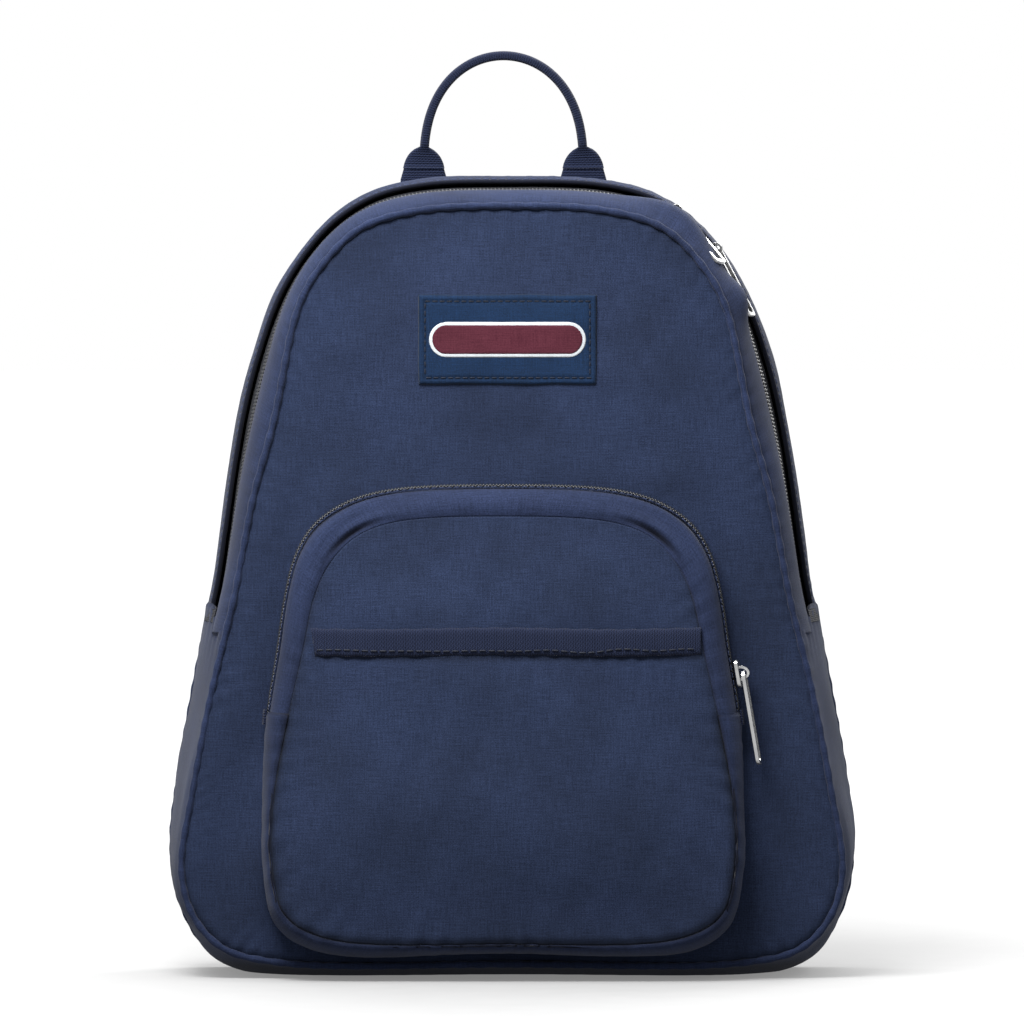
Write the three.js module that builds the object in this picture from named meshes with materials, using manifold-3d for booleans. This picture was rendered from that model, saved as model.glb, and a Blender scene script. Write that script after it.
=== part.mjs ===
// School backpack with an arched main zip, a front pocket, a haul loop and two padded shoulder
// straps. Millimetres, +Z up, the front faces -Y and +X is to the right of somebody looking at it.
import * as THREE from "three";
import Module from "manifold-3d";

const wasm = await Module();
wasm.setup();

// ---------------------------------------------------------------- driving dimensions

const SEAM_Z = 143; // height of the side seams, where the main zip ends
const DEPTH_AT_BASE = 76; // front seam to back seam at the bottom
const DEPTH_LOSS = 0.075; // how much shallower the body gets for each millimetre of height
const BACK_Y = 28.06; // outer face of the back panel
const PANEL_BULGE = 5; // how far the middle of the front panel stands out of its seam
const GUSSET_BOW = THREE.MathUtils.degToRad(115); // turn of the gusset from front seam to back seam
const CLOTH = 1.6; // canvas with its lining
const TAPE = 0.8; // zip tape
const GAP = 0.3; // clearance between pieces that touch
const PIPING_RADIUS = 1.3;
const FOLD_Z = 200; // where the front panel folds when it hangs open
const COIL_SHARE = 0.2; // share of each zip half's width that its coil takes
const COIL_DEPTH = 2; // the main zip lies this far below the cloth on both sides of it
const PAD_THICKNESS = 6; // foam of the back panel
const PAD_INSET = 4.5; // the foam and the lining end this far inside the back seam
const LINING_THICKNESS = 1;

// Half outlines seen from the front, as [half width, height] from bottom centre to top centre.
const FRONT_SEAM_HALF = [
  [0, 5.6], [92, 6.2], [115, 12], [127, 25], [131.6, 43], [127, 75], [119.3, 115], [110.5, 152],
  [103.3, 190], [95, 221], [85, 267], [76, 283], [60.5, 298], [38, 305], [0, 307],
];
const SILHOUETTE_HALF = [
  [0, -3], [96, -2.6], [121, 6], [133, 25], [137, 50], [134.5, 76], [129.8, 104], [124.6, 132],
  [119.6, 155], [116.5, 176], [109.8, 221], [103.8, 246], [93, 274], [75.8, 298], [57, 311],
  [35, 316.5], [0, 317.6],
];

// Depth positions across the gusset, from 0 at the front seam to 1 at the back seam.
const FRONT_STRIP = [0.03, 0.3];
const ZIP_LINE = 0.42;
const REAR_STRIP = [0.56, 0.965];
const LOWER_GUSSET = [0.03, 0.965];
const SEAM_BINDING = [0.05, 0.13];
const TAPE_LAP = 0.06; // how far a zip tape reaches under the cloth beside it
const HALF_COIL_GAP = 0.003; // clearance from the zip line to each half of the coil

const POCKET_X = -3.5; // the pocket is sewn on a little left of the middle
const POCKET_SEAM_Z = 104; // where the pocket zip ends
const POCKET_DEPTH_LOW = 25;
const POCKET_DEPTH_HIGH = 12;
const POCKET_BULGE = 4;
const POCKET_CLOTH = 1;
const POCKET_COIL_HEIGHT = 0.6; // the pocket's coil stands this far out of its cloth
// Across the pocket's sides, from 0 at the face seam to 1 at the body.
const POCKET_BAND = [0.06, 0.73];
const POCKET_ZIP_LINE = 0.825;
const POCKET_GUSSET = [0.06, 0.97];
const POCKET_ZIP_TAB = [0.73, 0.92];
const POCKET_BASE_HALF = [
  [0, 11], [74, 11.8], [90, 22], [95, 44], [95.5, 64], [93.6, 104], [89.6, 131], [86.6, 152],
  [82.4, 168.5], [75.4, 180], [63, 188.8], [45, 194], [0, 196],
];
const POCKET_FACE_HALF = [
  [0, 15], [71, 17.5], [87, 27], [92, 47], [91.5, 70], [85.5, 104], [79.5, 131], [75, 152],
  [69, 165], [59, 175.5], [44, 181.5], [0, 184],
];

const STRIP_X = [-79, 75]; // webbing strip across the pocket
const STRIP_Z = [129.2, 140];
const PATCH_X = [-37.2, 33.6]; // label patch
const PATCH_Z = [236, 271.6];
const PATCH_CLOTH = 0.9;
const STRIP_CLOTH = 1.5; // webbing of the strip

// Numbers of steps along and across the cloth.
const ARCH_STATIONS = 34;
const LOOP_STATIONS = 64;
const ROWS = 10;
const COLUMNS = 8;

// ---------------------------------------------------------------- colours

const { lerp, degToRad } = THREE.MathUtils;
const material = (color, roughness, metalness) =>
  new THREE.MeshStandardMaterial({ color, roughness, metalness });
const CANVAS = material(0x2f3b66, 0.85, 0);
const LINING = material(0x23262f, 0.9, 0);
const WEBBING = material(0x2b3557, 0.8, 0);
const ZIP = material(0x14151a, 0.7, 0);
const PATCH = material(0x1d3350, 0.8, 0);
const FOAM = material(0x3a3a3d, 0.95, 0);
const PLASTIC = material(0x16171a, 0.5, 0);
const SILVER = material(0xb9bcc0, 0.3, 1);

// ---------------------------------------------------------------- outlines and surfaces

// A closed outline in the XZ plane, run anticlockwise from bottom centre as seen from the front.
class Outline {
  constructor(points, centreX, centreZ) {
    this.points = points;
    this.centreX = centreX;
    this.centreZ = centreZ;
  }

  static throughHalf(half, centreX, centreZ) {
    const right = half.map(([x, z]) => new THREE.Vector3(centreX + x, 0, z));
    const left = half
      .slice(1, -1)
      .reverse()
      .map(([x, z]) => new THREE.Vector3(centreX - x, 0, z));
    const curve = new THREE.CatmullRomCurve3([...right, ...left], true, "centripetal");
    return new Outline(curve.getPoints(400), centreX, centreZ);
  }

  // The point of the outline in one direction from its centre.
  at(angle) {
    const dx = Math.cos(angle);
    const dz = Math.sin(angle);
    const side = (p) => dx * (p.z - this.centreZ) - dz * (p.x - this.centreX);
    for (let i = 0; i + 1 < this.points.length; i++) {
      const before = side(this.points[i]);
      const after = side(this.points[i + 1]);
      if (before <= 0 && after > 0)
        return this.points[i].clone().lerp(this.points[i + 1], before / (before - after));
    }
    throw new Error("the outline has a gap at " + angle);
  }

  halfWidth(z) {
    for (let i = 0; i + 1 < this.points.length; i++) {
      const a = this.points[i];
      const b = this.points[i + 1];
      if (a.z <= z && b.z > z)
        return lerp(a.x, b.x, (z - a.z) / (b.z - a.z)) - this.centreX;
    }
    return 0;
  }

  inset(distance) {
    const count = this.points.length - 1;
    const moved = [];
    for (let i = 0; i <= count; i++) {
      const before = this.points[(i - 1 + count) % count];
      const after = this.points[(i + 1) % count];
      const along = after.clone().sub(before).normalize();
      const point = this.points[i % count];
      moved.push(new THREE.Vector3(point.x - along.z * distance, 0, point.z + along.x * distance));
    }
    return new Outline(moved, this.centreX, this.centreZ);
  }

  get top() {
    return Math.max(...this.points.map((p) => p.z));
  }

  get bottom() {
    return Math.min(...this.points.map((p) => p.z));
  }
}

const frontSeam = Outline.throughHalf(FRONT_SEAM_HALF, 0, SEAM_Z);
const silhouette = Outline.throughHalf(SILHOUETTE_HALF, 0, SEAM_Z);
const pocketBase = Outline.throughHalf(POCKET_BASE_HALF, POCKET_X, POCKET_SEAM_Z);
const pocketFace = Outline.throughHalf(POCKET_FACE_HALF, POCKET_X, POCKET_SEAM_Z);

const bodyDepth = (z) => DEPTH_AT_BASE - DEPTH_LOSS * z;

// A dome that is 1 at the middle of an outline and 0 on it.
function dome(outline, x, z) {
  const u = (x - outline.centreX) / Math.max(outline.halfWidth(z), 1);
  const v = (2 * (z - outline.bottom)) / (outline.top - outline.bottom) - 1;
  return Math.max(0, 1 - u * u) * Math.max(0, 1 - v * v);
}

const frontY = (x, z) => BACK_Y - bodyDepth(z) - PANEL_BULGE * dome(frontSeam, x, z);

function pocketDepth(z) {
  const share = (z - pocketFace.bottom) / (pocketFace.top - pocketFace.bottom);
  return lerp(POCKET_DEPTH_LOW, POCKET_DEPTH_HIGH, THREE.MathUtils.clamp(share, 0, 1));
}

const pocketY = (x, z) => frontY(x, z) - pocketDepth(z) - POCKET_BULGE * dome(pocketFace, x, z);

// Sides of the body: `across` runs from the front seam, 0, to the back seam, 1. The base is flat.
function bodySide(angle, across) {
  const front = frontSeam.at(angle);
  const point = front.clone().lerp(silhouette.at(angle), Math.sin(across * GUSSET_BOW));
  point.y = BACK_Y - bodyDepth(front.z) * (1 - across);
  point.z = Math.max(point.z, 0);
  return point;
}

// Sides of the pocket: `across` runs from the face, 0, round a quarter ellipse to the body, 1.
function pocketSide(angle, across) {
  const base = pocketBase.at(angle);
  const face = pocketFace.at(angle);
  const turn = ((1 - across) * Math.PI) / 2;
  const point = base.clone().lerp(face, 1 - Math.cos(turn));
  const from = frontY(base.x, base.z) - GAP;
  point.y = lerp(from, pocketY(face.x, face.z), Math.sin(turn));
  return point;
}

// Panels: `along` is the height and `across` is the place in x.
const bodyFront = (z, x) => new THREE.Vector3(x, frontY(x, z), z);
const pocketFront = (z, x) => new THREE.Vector3(x, pocketY(x, z), z);

// The unit vector that points into the bag from a side or a panel.
function inward(surface, along, across) {
  const step = 0.01;
  const up = surface(along + step, across).sub(surface(along - step, across));
  const over = surface(along, across + step).sub(surface(along, across - step));
  return up.cross(over).normalize();
}

const offset = (surface, along, across, depth) =>
  surface(along, across).addScaledVector(inward(surface, along, across), depth);

// ---------------------------------------------------------------- solids

// A closed solid through rings of points. The ends are closed by strips across each ring.
function loft(rings, closed = false) {
  const size = rings[0].length;
  const positions = rings.flat().flatMap((p) => [p.x, p.y, p.z]);
  const index = [];
  const spans = closed ? rings.length : rings.length - 1;
  for (let i = 0; i < spans; i++)
    for (let k = 0; k < size; k++) {
      const a = i * size + k;
      const b = i * size + ((k + 1) % size);
      const next = (((i + 1) % rings.length) - i) * size;
      index.push(a, b, b + next, a, b + next, a + next);
    }
  if (!closed)
    for (let k = 0; k < size / 2 - 1; k++) {
      const last = (rings.length - 1) * size;
      const m = size - 1 - k;
      index.push(k, m, k + 1, k + 1, m, m - 1);
      index.push(last + k, last + k + 1, last + m, last + k + 1, last + m - 1, last + m);
    }
  const geometry = new THREE.BufferGeometry();
  geometry.setAttribute("position", new THREE.Float32BufferAttribute(positions, 3));
  geometry.setIndex(index);
  if (volumeOf(geometry) < 0) geometry.setIndex(index.reverse());
  geometry.computeVertexNormals();
  return geometry;
}

function volumeOf(geometry) {
  const { index } = geometry;
  const point = (i) => new THREE.Vector3().fromBufferAttribute(geometry.attributes.position, i);
  let sum = 0;
  for (let i = 0; i < index.count; i += 3) {
    const [a, b, c] = [0, 1, 2].map((k) => point(index.getX(i + k)));
    sum += a.dot(b.cross(c));
  }
  return sum;
}

const steps = (from, to, count) =>
  Array.from({ length: count + 1 }, (_, i) => lerp(from, to, i / count));

// A piece of cloth that follows a surface. `section` holds [across, near, far], the two depths of
// its faces below the surface at each place across it.
function cloth(surface, section, alongs, closed = false) {
  const rings = alongs.map((along) => [
    ...section.map(([across, near]) => offset(surface, along, across, near)),
    ...section.map(([across, , far]) => offset(surface, along, across, far)).reverse(),
  ]);
  return loft(rings, closed);
}

const strip = ([from, to], near, far, count = 3) =>
  steps(from, to, count).map((across) => [across, near, far]);

// A panel inside an outline, from one height to another, with rows closer together at `end`.
function panel(surface, outline, [from, to], near, far, end) {
  const eased = steps(0, 1, ROWS).map((t) => Math.sin((t * Math.PI) / 2));
  const heights = end === "top"
    ? eased.map((t) => lerp(from, to, t))
    : eased.reverse().map((t) => lerp(to, from, t));
  const rings = heights.map((z) => {
    const half = outline.halfWidth(z);
    const xs = steps(outline.centreX - half, outline.centreX + half, COLUMNS);
    return [
      ...xs.map((x) => offset(surface, z, x, near)),
      ...xs.map((x) => offset(surface, z, x, far)).reverse(),
    ];
  });
  return loft(rings);
}

// A solid along a path. `section` gives the corners of its cross-section at each share of the
// way, as [sideways, outwards], where sideways is as near to `side` as the path allows.
function sweep(points, side, section, closed = false) {
  const count = points.length;
  const rings = points.map((point, i) => {
    const before = closed ? points[(i - 1 + count) % count] : points[Math.max(i - 1, 0)];
    const after = closed ? points[(i + 1) % count] : points[Math.min(i + 1, count - 1)];
    const along = after.clone().sub(before).normalize();
    const out = along.clone().cross(side).normalize();
    const over = out.clone().cross(along);
    return section(i / (count - 1)).map(([a, b]) =>
      point.clone().addScaledVector(over, a).addScaledVector(out, b),
    );
  });
  return loft(rings, closed);
}

const round = (radius, sides = 6) =>
  Array.from({ length: sides }, (_, i) => {
    const turn = ((i + 0.5) * 2 * Math.PI) / sides;
    return [radius * Math.cos(turn), radius * Math.sin(turn)];
  });

const flat = (width, thickness) => [
  [-width / 2, -thickness / 2], [width / 2, -thickness / 2],
  [width / 2, thickness / 2], [-width / 2, thickness / 2],
];

// A padded cross-section: a rounded box of 12 corners.
function padded(width, thickness) {
  const power = (value, exponent) => Math.sign(value) * Math.abs(value) ** exponent;
  return Array.from({ length: 12 }, (_, i) => {
    const turn = ((i + 0.5) * Math.PI) / 6;
    return [
      (width / 2) * power(Math.cos(turn), 0.5),
      (thickness / 2) * power(Math.sin(turn), 0.7),
    ];
  });
}

function joined(geometries) {
  const solids = geometries.map((geometry) => {
    const { position } = geometry.attributes;
    const triVerts = Uint32Array.from({ length: position.count }, (_, i) => i);
    const mesh = new wasm.Mesh({ numProp: 3, vertProperties: position.array, triVerts });
    mesh.merge();
    return new wasm.Manifold(mesh);
  });
  const mesh = wasm.Manifold.union(solids).getMesh();
  const geometry = new THREE.BufferGeometry();
  geometry.setAttribute("position", new THREE.BufferAttribute(mesh.vertProperties, 3));
  geometry.setIndex(new THREE.BufferAttribute(mesh.triVerts, 1));
  return geometry;
}

function roundedRectangle(path, [left, right], [low, high], radius) {
  path.moveTo(left + radius, low);
  path.lineTo(right - radius, low);
  path.absarc(right - radius, low + radius, radius, -Math.PI / 2, 0, false);
  path.absarc(right - radius, high - radius, radius, 0, Math.PI / 2, false);
  path.absarc(left + radius, high - radius, radius, Math.PI / 2, Math.PI, false);
  path.absarc(left + radius, low + radius, radius, Math.PI, 1.5 * Math.PI, false);
  return path;
}

// A flat shape in XY made `thickness` deep, with its middle at z = 0.
function plate(shape, thickness) {
  const geometry = new THREE.ExtrudeGeometry(shape, {
    depth: thickness,
    bevelEnabled: false,
    curveSegments: 5,
  });
  return geometry.translate(0, 0, -thickness / 2);
}

// ---------------------------------------------------------------- assembly helpers

const backpack = new THREE.Group();
backpack.name = "school_backpack";

function add(name, geometry, kind, parent = backpack) {
  const mesh = new THREE.Mesh(geometry, kind);
  mesh.name = name;
  parent.add(mesh);
  return mesh;
}

function group(name, parent = backpack) {
  const made = new THREE.Group();
  made.name = name;
  parent.add(made);
  return made;
}

const SIDES = [["left", -1], ["right", 1]];
const FOLD_ANGLE = Math.atan2(FOLD_Z - SEAM_Z, frontSeam.halfWidth(FOLD_Z));
const SPLIT = 0.0027; // half the gap at the fold, as an angle
const SEAM_SPLIT = 0.003; // the gusset pieces end this far from the side seams, as an angle
const arch = steps(FOLD_ANGLE + SPLIT, Math.PI - FOLD_ANGLE - SPLIT, ARCH_STATIONS);
const wholeArch = steps(SEAM_SPLIT, Math.PI - SEAM_SPLIT, ARCH_STATIONS + 6);
const under = steps(Math.PI + SEAM_SPLIT, 2 * Math.PI - SEAM_SPLIT, ARCH_STATIONS);
const loop = steps(0, 2 * Math.PI, LOOP_STATIONS).slice(0, -1);

// The short lengths of the arch between a side seam and the fold.
const sideStations = (side) =>
  side > 0
    ? steps(SEAM_SPLIT, FOLD_ANGLE - SPLIT, 4)
    : steps(Math.PI - FOLD_ANGLE + SPLIT, Math.PI - SEAM_SPLIT, 4);

// One half of a zip: a tape that runs under the cloth, and half of the coil along its edge.
function stringer(edge, coil, tapeDepth, coilDepth) {
  const step = Math.sign(coil - edge) * 1e-4;
  const coilStart = lerp(coil, edge, COIL_SHARE);
  const far = tapeDepth + TAPE;
  return [
    [edge, tapeDepth, far],
    [coilStart, tapeDepth, far],
    [coilStart + step, coilDepth, far],
    [coil, coilDepth, far],
  ];
}

function mainStringer(edge, side) {
  const coil = ZIP_LINE + side * HALF_COIL_GAP;
  return stringer(edge + side * TAPE_LAP, coil, CLOTH + 5 * GAP, COIL_DEPTH);
}

const frontStringer = mainStringer(FRONT_STRIP[1], -1);
const rearStringer = mainStringer(REAR_STRIP[0], 1);

// ---------------------------------------------------------------- body

function buildBack() {
  const seam = new Outline(loop.concat(0).map((angle) => bodySide(angle, 1)), 0, SEAM_Z);
  const foam = CLOTH + GAP;
  const lining = foam + PAD_THICKNESS + GAP;
  const layers = [
    ["back_panel_cover", PIPING_RADIUS + GAP, 0, CLOTH, CANVAS],
    ["back_foam_pad", PAD_INSET, foam, foam + PAD_THICKNESS, FOAM],
    ["back_lining", PAD_INSET, lining, lining + LINING_THICKNESS, LINING],
  ];
  for (const [name, inset, near, far, kind] of layers) {
    const outline = seam.inset(inset);
    const span = [inset + 1.7 * PIPING_RADIUS, outline.top - PIPING_RADIUS / 2];
    const heights = steps(0, 1, 2 * ROWS).map((t) => lerp(...span, (1 - Math.cos(t * Math.PI)) / 2));
    const rings = heights.map((z) => {
      const half = outline.halfWidth(z);
      return [
        [-half, near], [half, near], [half, far], [-half, far],
      ].map(([x, depth]) => new THREE.Vector3(x, BACK_Y - depth, z));
    });
    add(name, loft(rings), kind);
  }
}

function pipingPath(angles, across) {
  return angles.map((angle) => {
    const point = bodySide(angle, across);
    point.z = Math.max(point.z, PIPING_RADIUS);
    return point;
  });
}

function buildPiping() {
  const depth = new THREE.Vector3(0, 1, 0);
  const cord = (angles, across, closed) =>
    sweep(pipingPath(angles, across), depth, () => round(PIPING_RADIUS), closed);
  const low = steps(Math.PI - FOLD_ANGLE + SPLIT, 2 * Math.PI + FOLD_ANGLE - SPLIT, ARCH_STATIONS + 10);
  add("back_piping", cord(loop, 1, true), CANVAS);
  add("front_piping_lower", cord(low, 0, false), CANVAS);
  add("front_piping_upper", cord(arch, 0, false), CANVAS);
}

function buildGussets() {
  add("rear_gusset", cloth(bodySide, strip(REAR_STRIP, 0, CLOTH, 4), wholeArch), CANVAS);
  add("lower_gusset", cloth(bodySide, strip(LOWER_GUSSET, 0, CLOTH, 8), under), CANVAS);
  add("front_gusset_upper", cloth(bodySide, strip(FRONT_STRIP, 0, CLOTH), arch), CANVAS);
  const binding = strip(SEAM_BINDING, CLOTH + GAP, CLOTH + GAP + TAPE, 1);
  add("seam_binding", cloth(bodySide, binding, under), LINING);
  for (const [word, side] of SIDES) {
    const stations = sideStations(side);
    add("front_gusset_" + word, cloth(bodySide, strip(FRONT_STRIP, 0, CLOTH), stations), CANVAS);
    add("main_stringer_" + word, cloth(bodySide, frontStringer, stations), ZIP);
  }
  add("main_stringer_rear", cloth(bodySide, rearStringer, wholeArch), ZIP);
  add("main_stringer_front", cloth(bodySide, frontStringer, arch), ZIP);
}

// A tab of tape sewn over each end of both zips, half above the side seam and half below it.
function buildZipEnds() {
  const mainHalf = 0.022; // half the length of a tab, as an angle
  const pocketHalf = 0.0325;
  const mainTab = strip([FRONT_STRIP[1] - 0.02, REAR_STRIP[0] + 0.02], -GAP - TAPE, -GAP, 2);
  const height = POCKET_COIL_HEIGHT + 2.5 * GAP;
  const pocketTab = strip(POCKET_ZIP_TAB, -height - TAPE, -height, 2);
  for (const [word, side] of SIDES) {
    const middle = side > 0 ? 0 : Math.PI;
    const stations = (half) => steps(middle - half, middle + half, 2);
    add("main_zip_end_" + word, cloth(bodySide, mainTab, stations(mainHalf)), WEBBING);
    add("pocket_zip_end_" + word, cloth(pocketSide, pocketTab, stations(pocketHalf)), WEBBING);
  }
}

function buildFrontPanel() {
  const outline = frontSeam.inset(PIPING_RADIUS + 2 * GAP);
  const low = [outline.bottom + 3 * GAP, FOLD_Z - GAP];
  const high = [FOLD_Z + GAP, outline.top - 2 * GAP];
  add("front_panel_lower", panel(bodyFront, outline, low, 0, CLOTH, "bottom"), CANVAS);
  add("front_panel_upper", panel(bodyFront, outline, high, 0, CLOTH, "top"), CANVAS);
  const patch = cloth(bodyFront, strip(PATCH_X, -GAP - PATCH_CLOTH, -GAP, 3), steps(...PATCH_Z, 2));
  add("label_patch", patch, PATCH);
}

// ---------------------------------------------------------------- pocket

function buildPocket() {
  const low = steps(Math.PI + SEAM_SPLIT, 2 * Math.PI - SEAM_SPLIT, ARCH_STATIONS - 6);
  const high = steps(SEAM_SPLIT, Math.PI - SEAM_SPLIT, ARCH_STATIONS - 6);
  add("pocket_gusset", cloth(pocketSide, strip(POCKET_GUSSET, 0, POCKET_CLOTH, 5), low), CANVAS);
  add("pocket_band", cloth(pocketSide, strip(POCKET_BAND, 0, POCKET_CLOTH, 4), high), CANVAS);
  const half = (edge, side) => {
    const coil = POCKET_ZIP_LINE + side * HALF_COIL_GAP;
    return stringer(edge, coil, POCKET_CLOTH + GAP, -POCKET_COIL_HEIGHT);
  };
  const fixed = half(POCKET_GUSSET[1], 1);
  const moving = half(POCKET_BAND[1] - 1.5 * TAPE_LAP, -1);
  add("pocket_stringer_fixed", cloth(pocketSide, fixed, high), ZIP);
  add("pocket_stringer_moving", cloth(pocketSide, moving, high), ZIP);

  const outline = pocketFace.inset(POCKET_CLOTH + GAP);
  const lowSpan = [outline.bottom + 2 * GAP, POCKET_SEAM_Z - GAP];
  const highSpan = [POCKET_SEAM_Z + GAP, outline.top - 2 * GAP];
  add("pocket_front_lower", panel(pocketFront, outline, lowSpan, 0, POCKET_CLOTH, "bottom"), CANVAS);
  add("pocket_front_upper", panel(pocketFront, outline, highSpan, 0, POCKET_CLOTH, "top"), CANVAS);
  const webbing = strip(STRIP_X, -GAP - STRIP_CLOTH, -GAP, 8);
  add("pocket_webbing_strip", cloth(pocketFront, webbing, steps(...STRIP_Z, 2)), WEBBING);
}

// ---------------------------------------------------------------- sliders and pulls

const SLIDER_LENGTH = 11;
const SLIDER_WIDTH = 7;
const SLIDER_PLATE = 1.3;
const SLIDER_HEIGHT = 1; // middle of the slider's plate over the coil's outer face
const BRIDGE_HALF_SPAN = 3;
const BRIDGE_RISE = 4.1;
const BRIDGE_METAL = 1;
const BRIDGE_WIDTH = 1.4;
const PULL_WIRE = 1.5;
const PULL_THICKNESS = 1.3;
const PULL_BAR_HEIGHT = 3.2; // the pull's bar over the coil's outer face
const PULL_CORNER = 2.4;
const MAIN_PULL = [31, 8]; // length and width
const POCKET_PULL = [37, 7];
// Each main slider's direction from the middle of the bag, the three directions of the zip line
// that its track is fitted to, and how far its pull turns to the front, in degrees.
const MAIN_SLIDERS = [["upper", 68, [58, 68, 78], 30], ["lower", 61, [45, 53, 61], 12]];
const MAIN_PULL_LEAN = 7.5; // degrees
const POCKET_SLIDER_ANGLE = 10.5; // degrees
const POCKET_SLIDER_LIFT = 1.1; // lets the pocket's loose stringer swing out under the slider

// Local axes: +X towards the hanging end of the pull, +Y into the bag, +Z out of the surface.
function sliderGeometry() {
  const [length, width] = [SLIDER_LENGTH / 2, SLIDER_WIDTH / 2];
  const base = roundedRectangle(new THREE.Shape(), [-length, length], [-width, width], width / 2);
  const body = plate(base, SLIDER_PLATE).translate(0, 0, SLIDER_HEIGHT);
  const bridge = new THREE.Shape();
  const foot = SLIDER_HEIGHT + SLIDER_PLATE / 3;
  const inner = [BRIDGE_HALF_SPAN - BRIDGE_METAL, BRIDGE_RISE - BRIDGE_METAL];
  bridge.absellipse(0, foot, BRIDGE_HALF_SPAN, BRIDGE_RISE, 0, Math.PI, false);
  bridge.absellipse(0, foot, ...inner, Math.PI, 0, true);
  const arched = plate(bridge, BRIDGE_WIDTH).rotateX(Math.PI / 2);
  return joined([body, arched]);
}

function pullGeometry(length, width) {
  const half = width / 2;
  const ends = [-PULL_WIRE / 2, length];
  const shape = roundedRectangle(new THREE.Shape(), ends, [-half, half], PULL_CORNER);
  const bore = half - PULL_WIRE;
  const slot = [PULL_WIRE / 2, length - PULL_WIRE];
  shape.holes.push(roundedRectangle(new THREE.Path(), slot, [-bore, bore], PULL_CORNER / 2));
  return plate(shape, PULL_THICKNESS);
}

// The frame of a slider on a zip: its place at a depth below the surface, and its axes along,
// across and out of the surface.
function zipFrame(surface, angle, across, depth) {
  const out = inward(surface, angle, across).negate();
  const along = surface(angle - 0.01, across).sub(surface(angle + 0.01, across)).normalize();
  const basis = new THREE.Matrix4().makeBasis(along, out.clone().cross(along), out);
  return basis.setPosition(offset(surface, angle, across, depth));
}

// `slant` turns the pull over the surface, and `lean` turns its hanging end towards the surface.
function addSlider(name, pullName, [length, width], frame, [slant, lean], carriage) {
  const seat = group(name + "_seat", carriage);
  seat.applyMatrix4(carriage.matrixWorld.clone().invert().multiply(frame));
  add(name, sliderGeometry(), SILVER, seat);
  const pivot = group(pullName + "_pivot", seat);
  pivot.position.z = PULL_BAR_HEIGHT;
  pivot.rotation.set(0, lean, -slant, "ZYX");
  add(pullName, pullGeometry(length, width), SILVER, pivot);
}

// Centre of the circle through three places of the zip line, seen from the front.
function arcCentre(directions) {
  const [a, b, c] = directions.map((degrees) => bodySide(degToRad(degrees), ZIP_LINE));
  const [sa, sb, sc] = [a, b, c].map((p) => p.x * p.x + p.z * p.z);
  const area = 2 * (a.x * (b.z - c.z) + b.x * (c.z - a.z) + c.x * (a.z - b.z));
  const x = (sa * (b.z - c.z) + sb * (c.z - a.z) + sc * (a.z - b.z)) / area;
  const z = (sa * (c.x - b.x) + sb * (a.x - c.x) + sc * (b.x - a.x)) / area;
  return new THREE.Vector3(x, b.y, z);
}

function buildSliders() {
  for (const [word, degrees, track, slant] of MAIN_SLIDERS) {
    const angle = degToRad(degrees);
    const carriage = group("main_slider_" + word + "_carriage");
    carriage.position.copy(arcCentre(track));
    carriage.updateMatrixWorld(true);
    const frame = zipFrame(bodySide, angle, ZIP_LINE, COIL_DEPTH - GAP);
    const names = ["main_slider_" + word, "main_pull_" + word];
    addSlider(...names, MAIN_PULL, frame, [slant, MAIN_PULL_LEAN].map(degToRad), carriage);
  }
  const height = POCKET_COIL_HEIGHT + POCKET_SLIDER_LIFT;
  const frame = zipFrame(pocketSide, degToRad(POCKET_SLIDER_ANGLE), POCKET_ZIP_LINE, -height);
  addSlider("pocket_slider", "pocket_pull", POCKET_PULL, frame, [0, 0], backpack);
}

// ---------------------------------------------------------------- haul loop and strap anchors

const LOOP_X = -3.4;
const LOOP_Y = BACK_Y + 3.2;
const LOOP_Z = 321; // where the loop leaves the back of the bag and swings
const LOOP_HALF_SPAN = 32;
const LOOP_CREST = 45.2;
const LOOP_FOLDED = [9.6, 3.8]; // depth and thickness of the webbing folded in two
const LOOP_FLAT = [3.4, 15]; // the same where it opens out at its ends
const LOOP_OPENING = 0.12; // share of the loop's length in which each end opens out
const LOOP_BASE = [19, 3.4]; // width and thickness of the webbing sewn to the back
const SWING_ROOM = 2; // gap under the loop's ends
const BAND_Z = [284, 304];

function buildHaulLoop() {
  const path = steps(0, Math.PI, 20).map((turn) => {
    const x = LOOP_X - LOOP_HALF_SPAN * Math.cos(turn);
    const z = LOOP_Z + LOOP_CREST * Math.sin(turn) ** 0.8;
    return new THREE.Vector3(x, LOOP_Y, z);
  });
  const section = (share) => {
    const spread = Math.max(0, 1 - Math.min(share, 1 - share) / LOOP_OPENING);
    return flat(...LOOP_FOLDED.map((size, i) => lerp(size, LOOP_FLAT[i], spread)));
  };
  add("haul_loop", sweep(path, new THREE.Vector3(0, 1, 0), section), WEBBING);
  for (const [word, side] of SIDES) {
    const x = LOOP_X + side * (LOOP_HALF_SPAN + 2);
    const heights = [BAND_Z[1] + GAP, LOOP_Z - SWING_ROOM];
    const base = heights.map((z) => new THREE.Vector3(x, LOOP_Y, z));
    const webbing = sweep(base, new THREE.Vector3(1, 0, 0), () => flat(...LOOP_BASE));
    add("haul_base_" + word, webbing, WEBBING);
  }
}

const BAND_HALF = 62;
const BAND_THICKNESS = 2;
const TAB_CORNERS = [[90, 31], [111, 24], [123, 12], [110, 4]]; // webbing sewn into a lower corner
const STRAP_WEB = 20; // width of the lower webbing
const STRAP_WEB_THICKNESS = 1.4;

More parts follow.
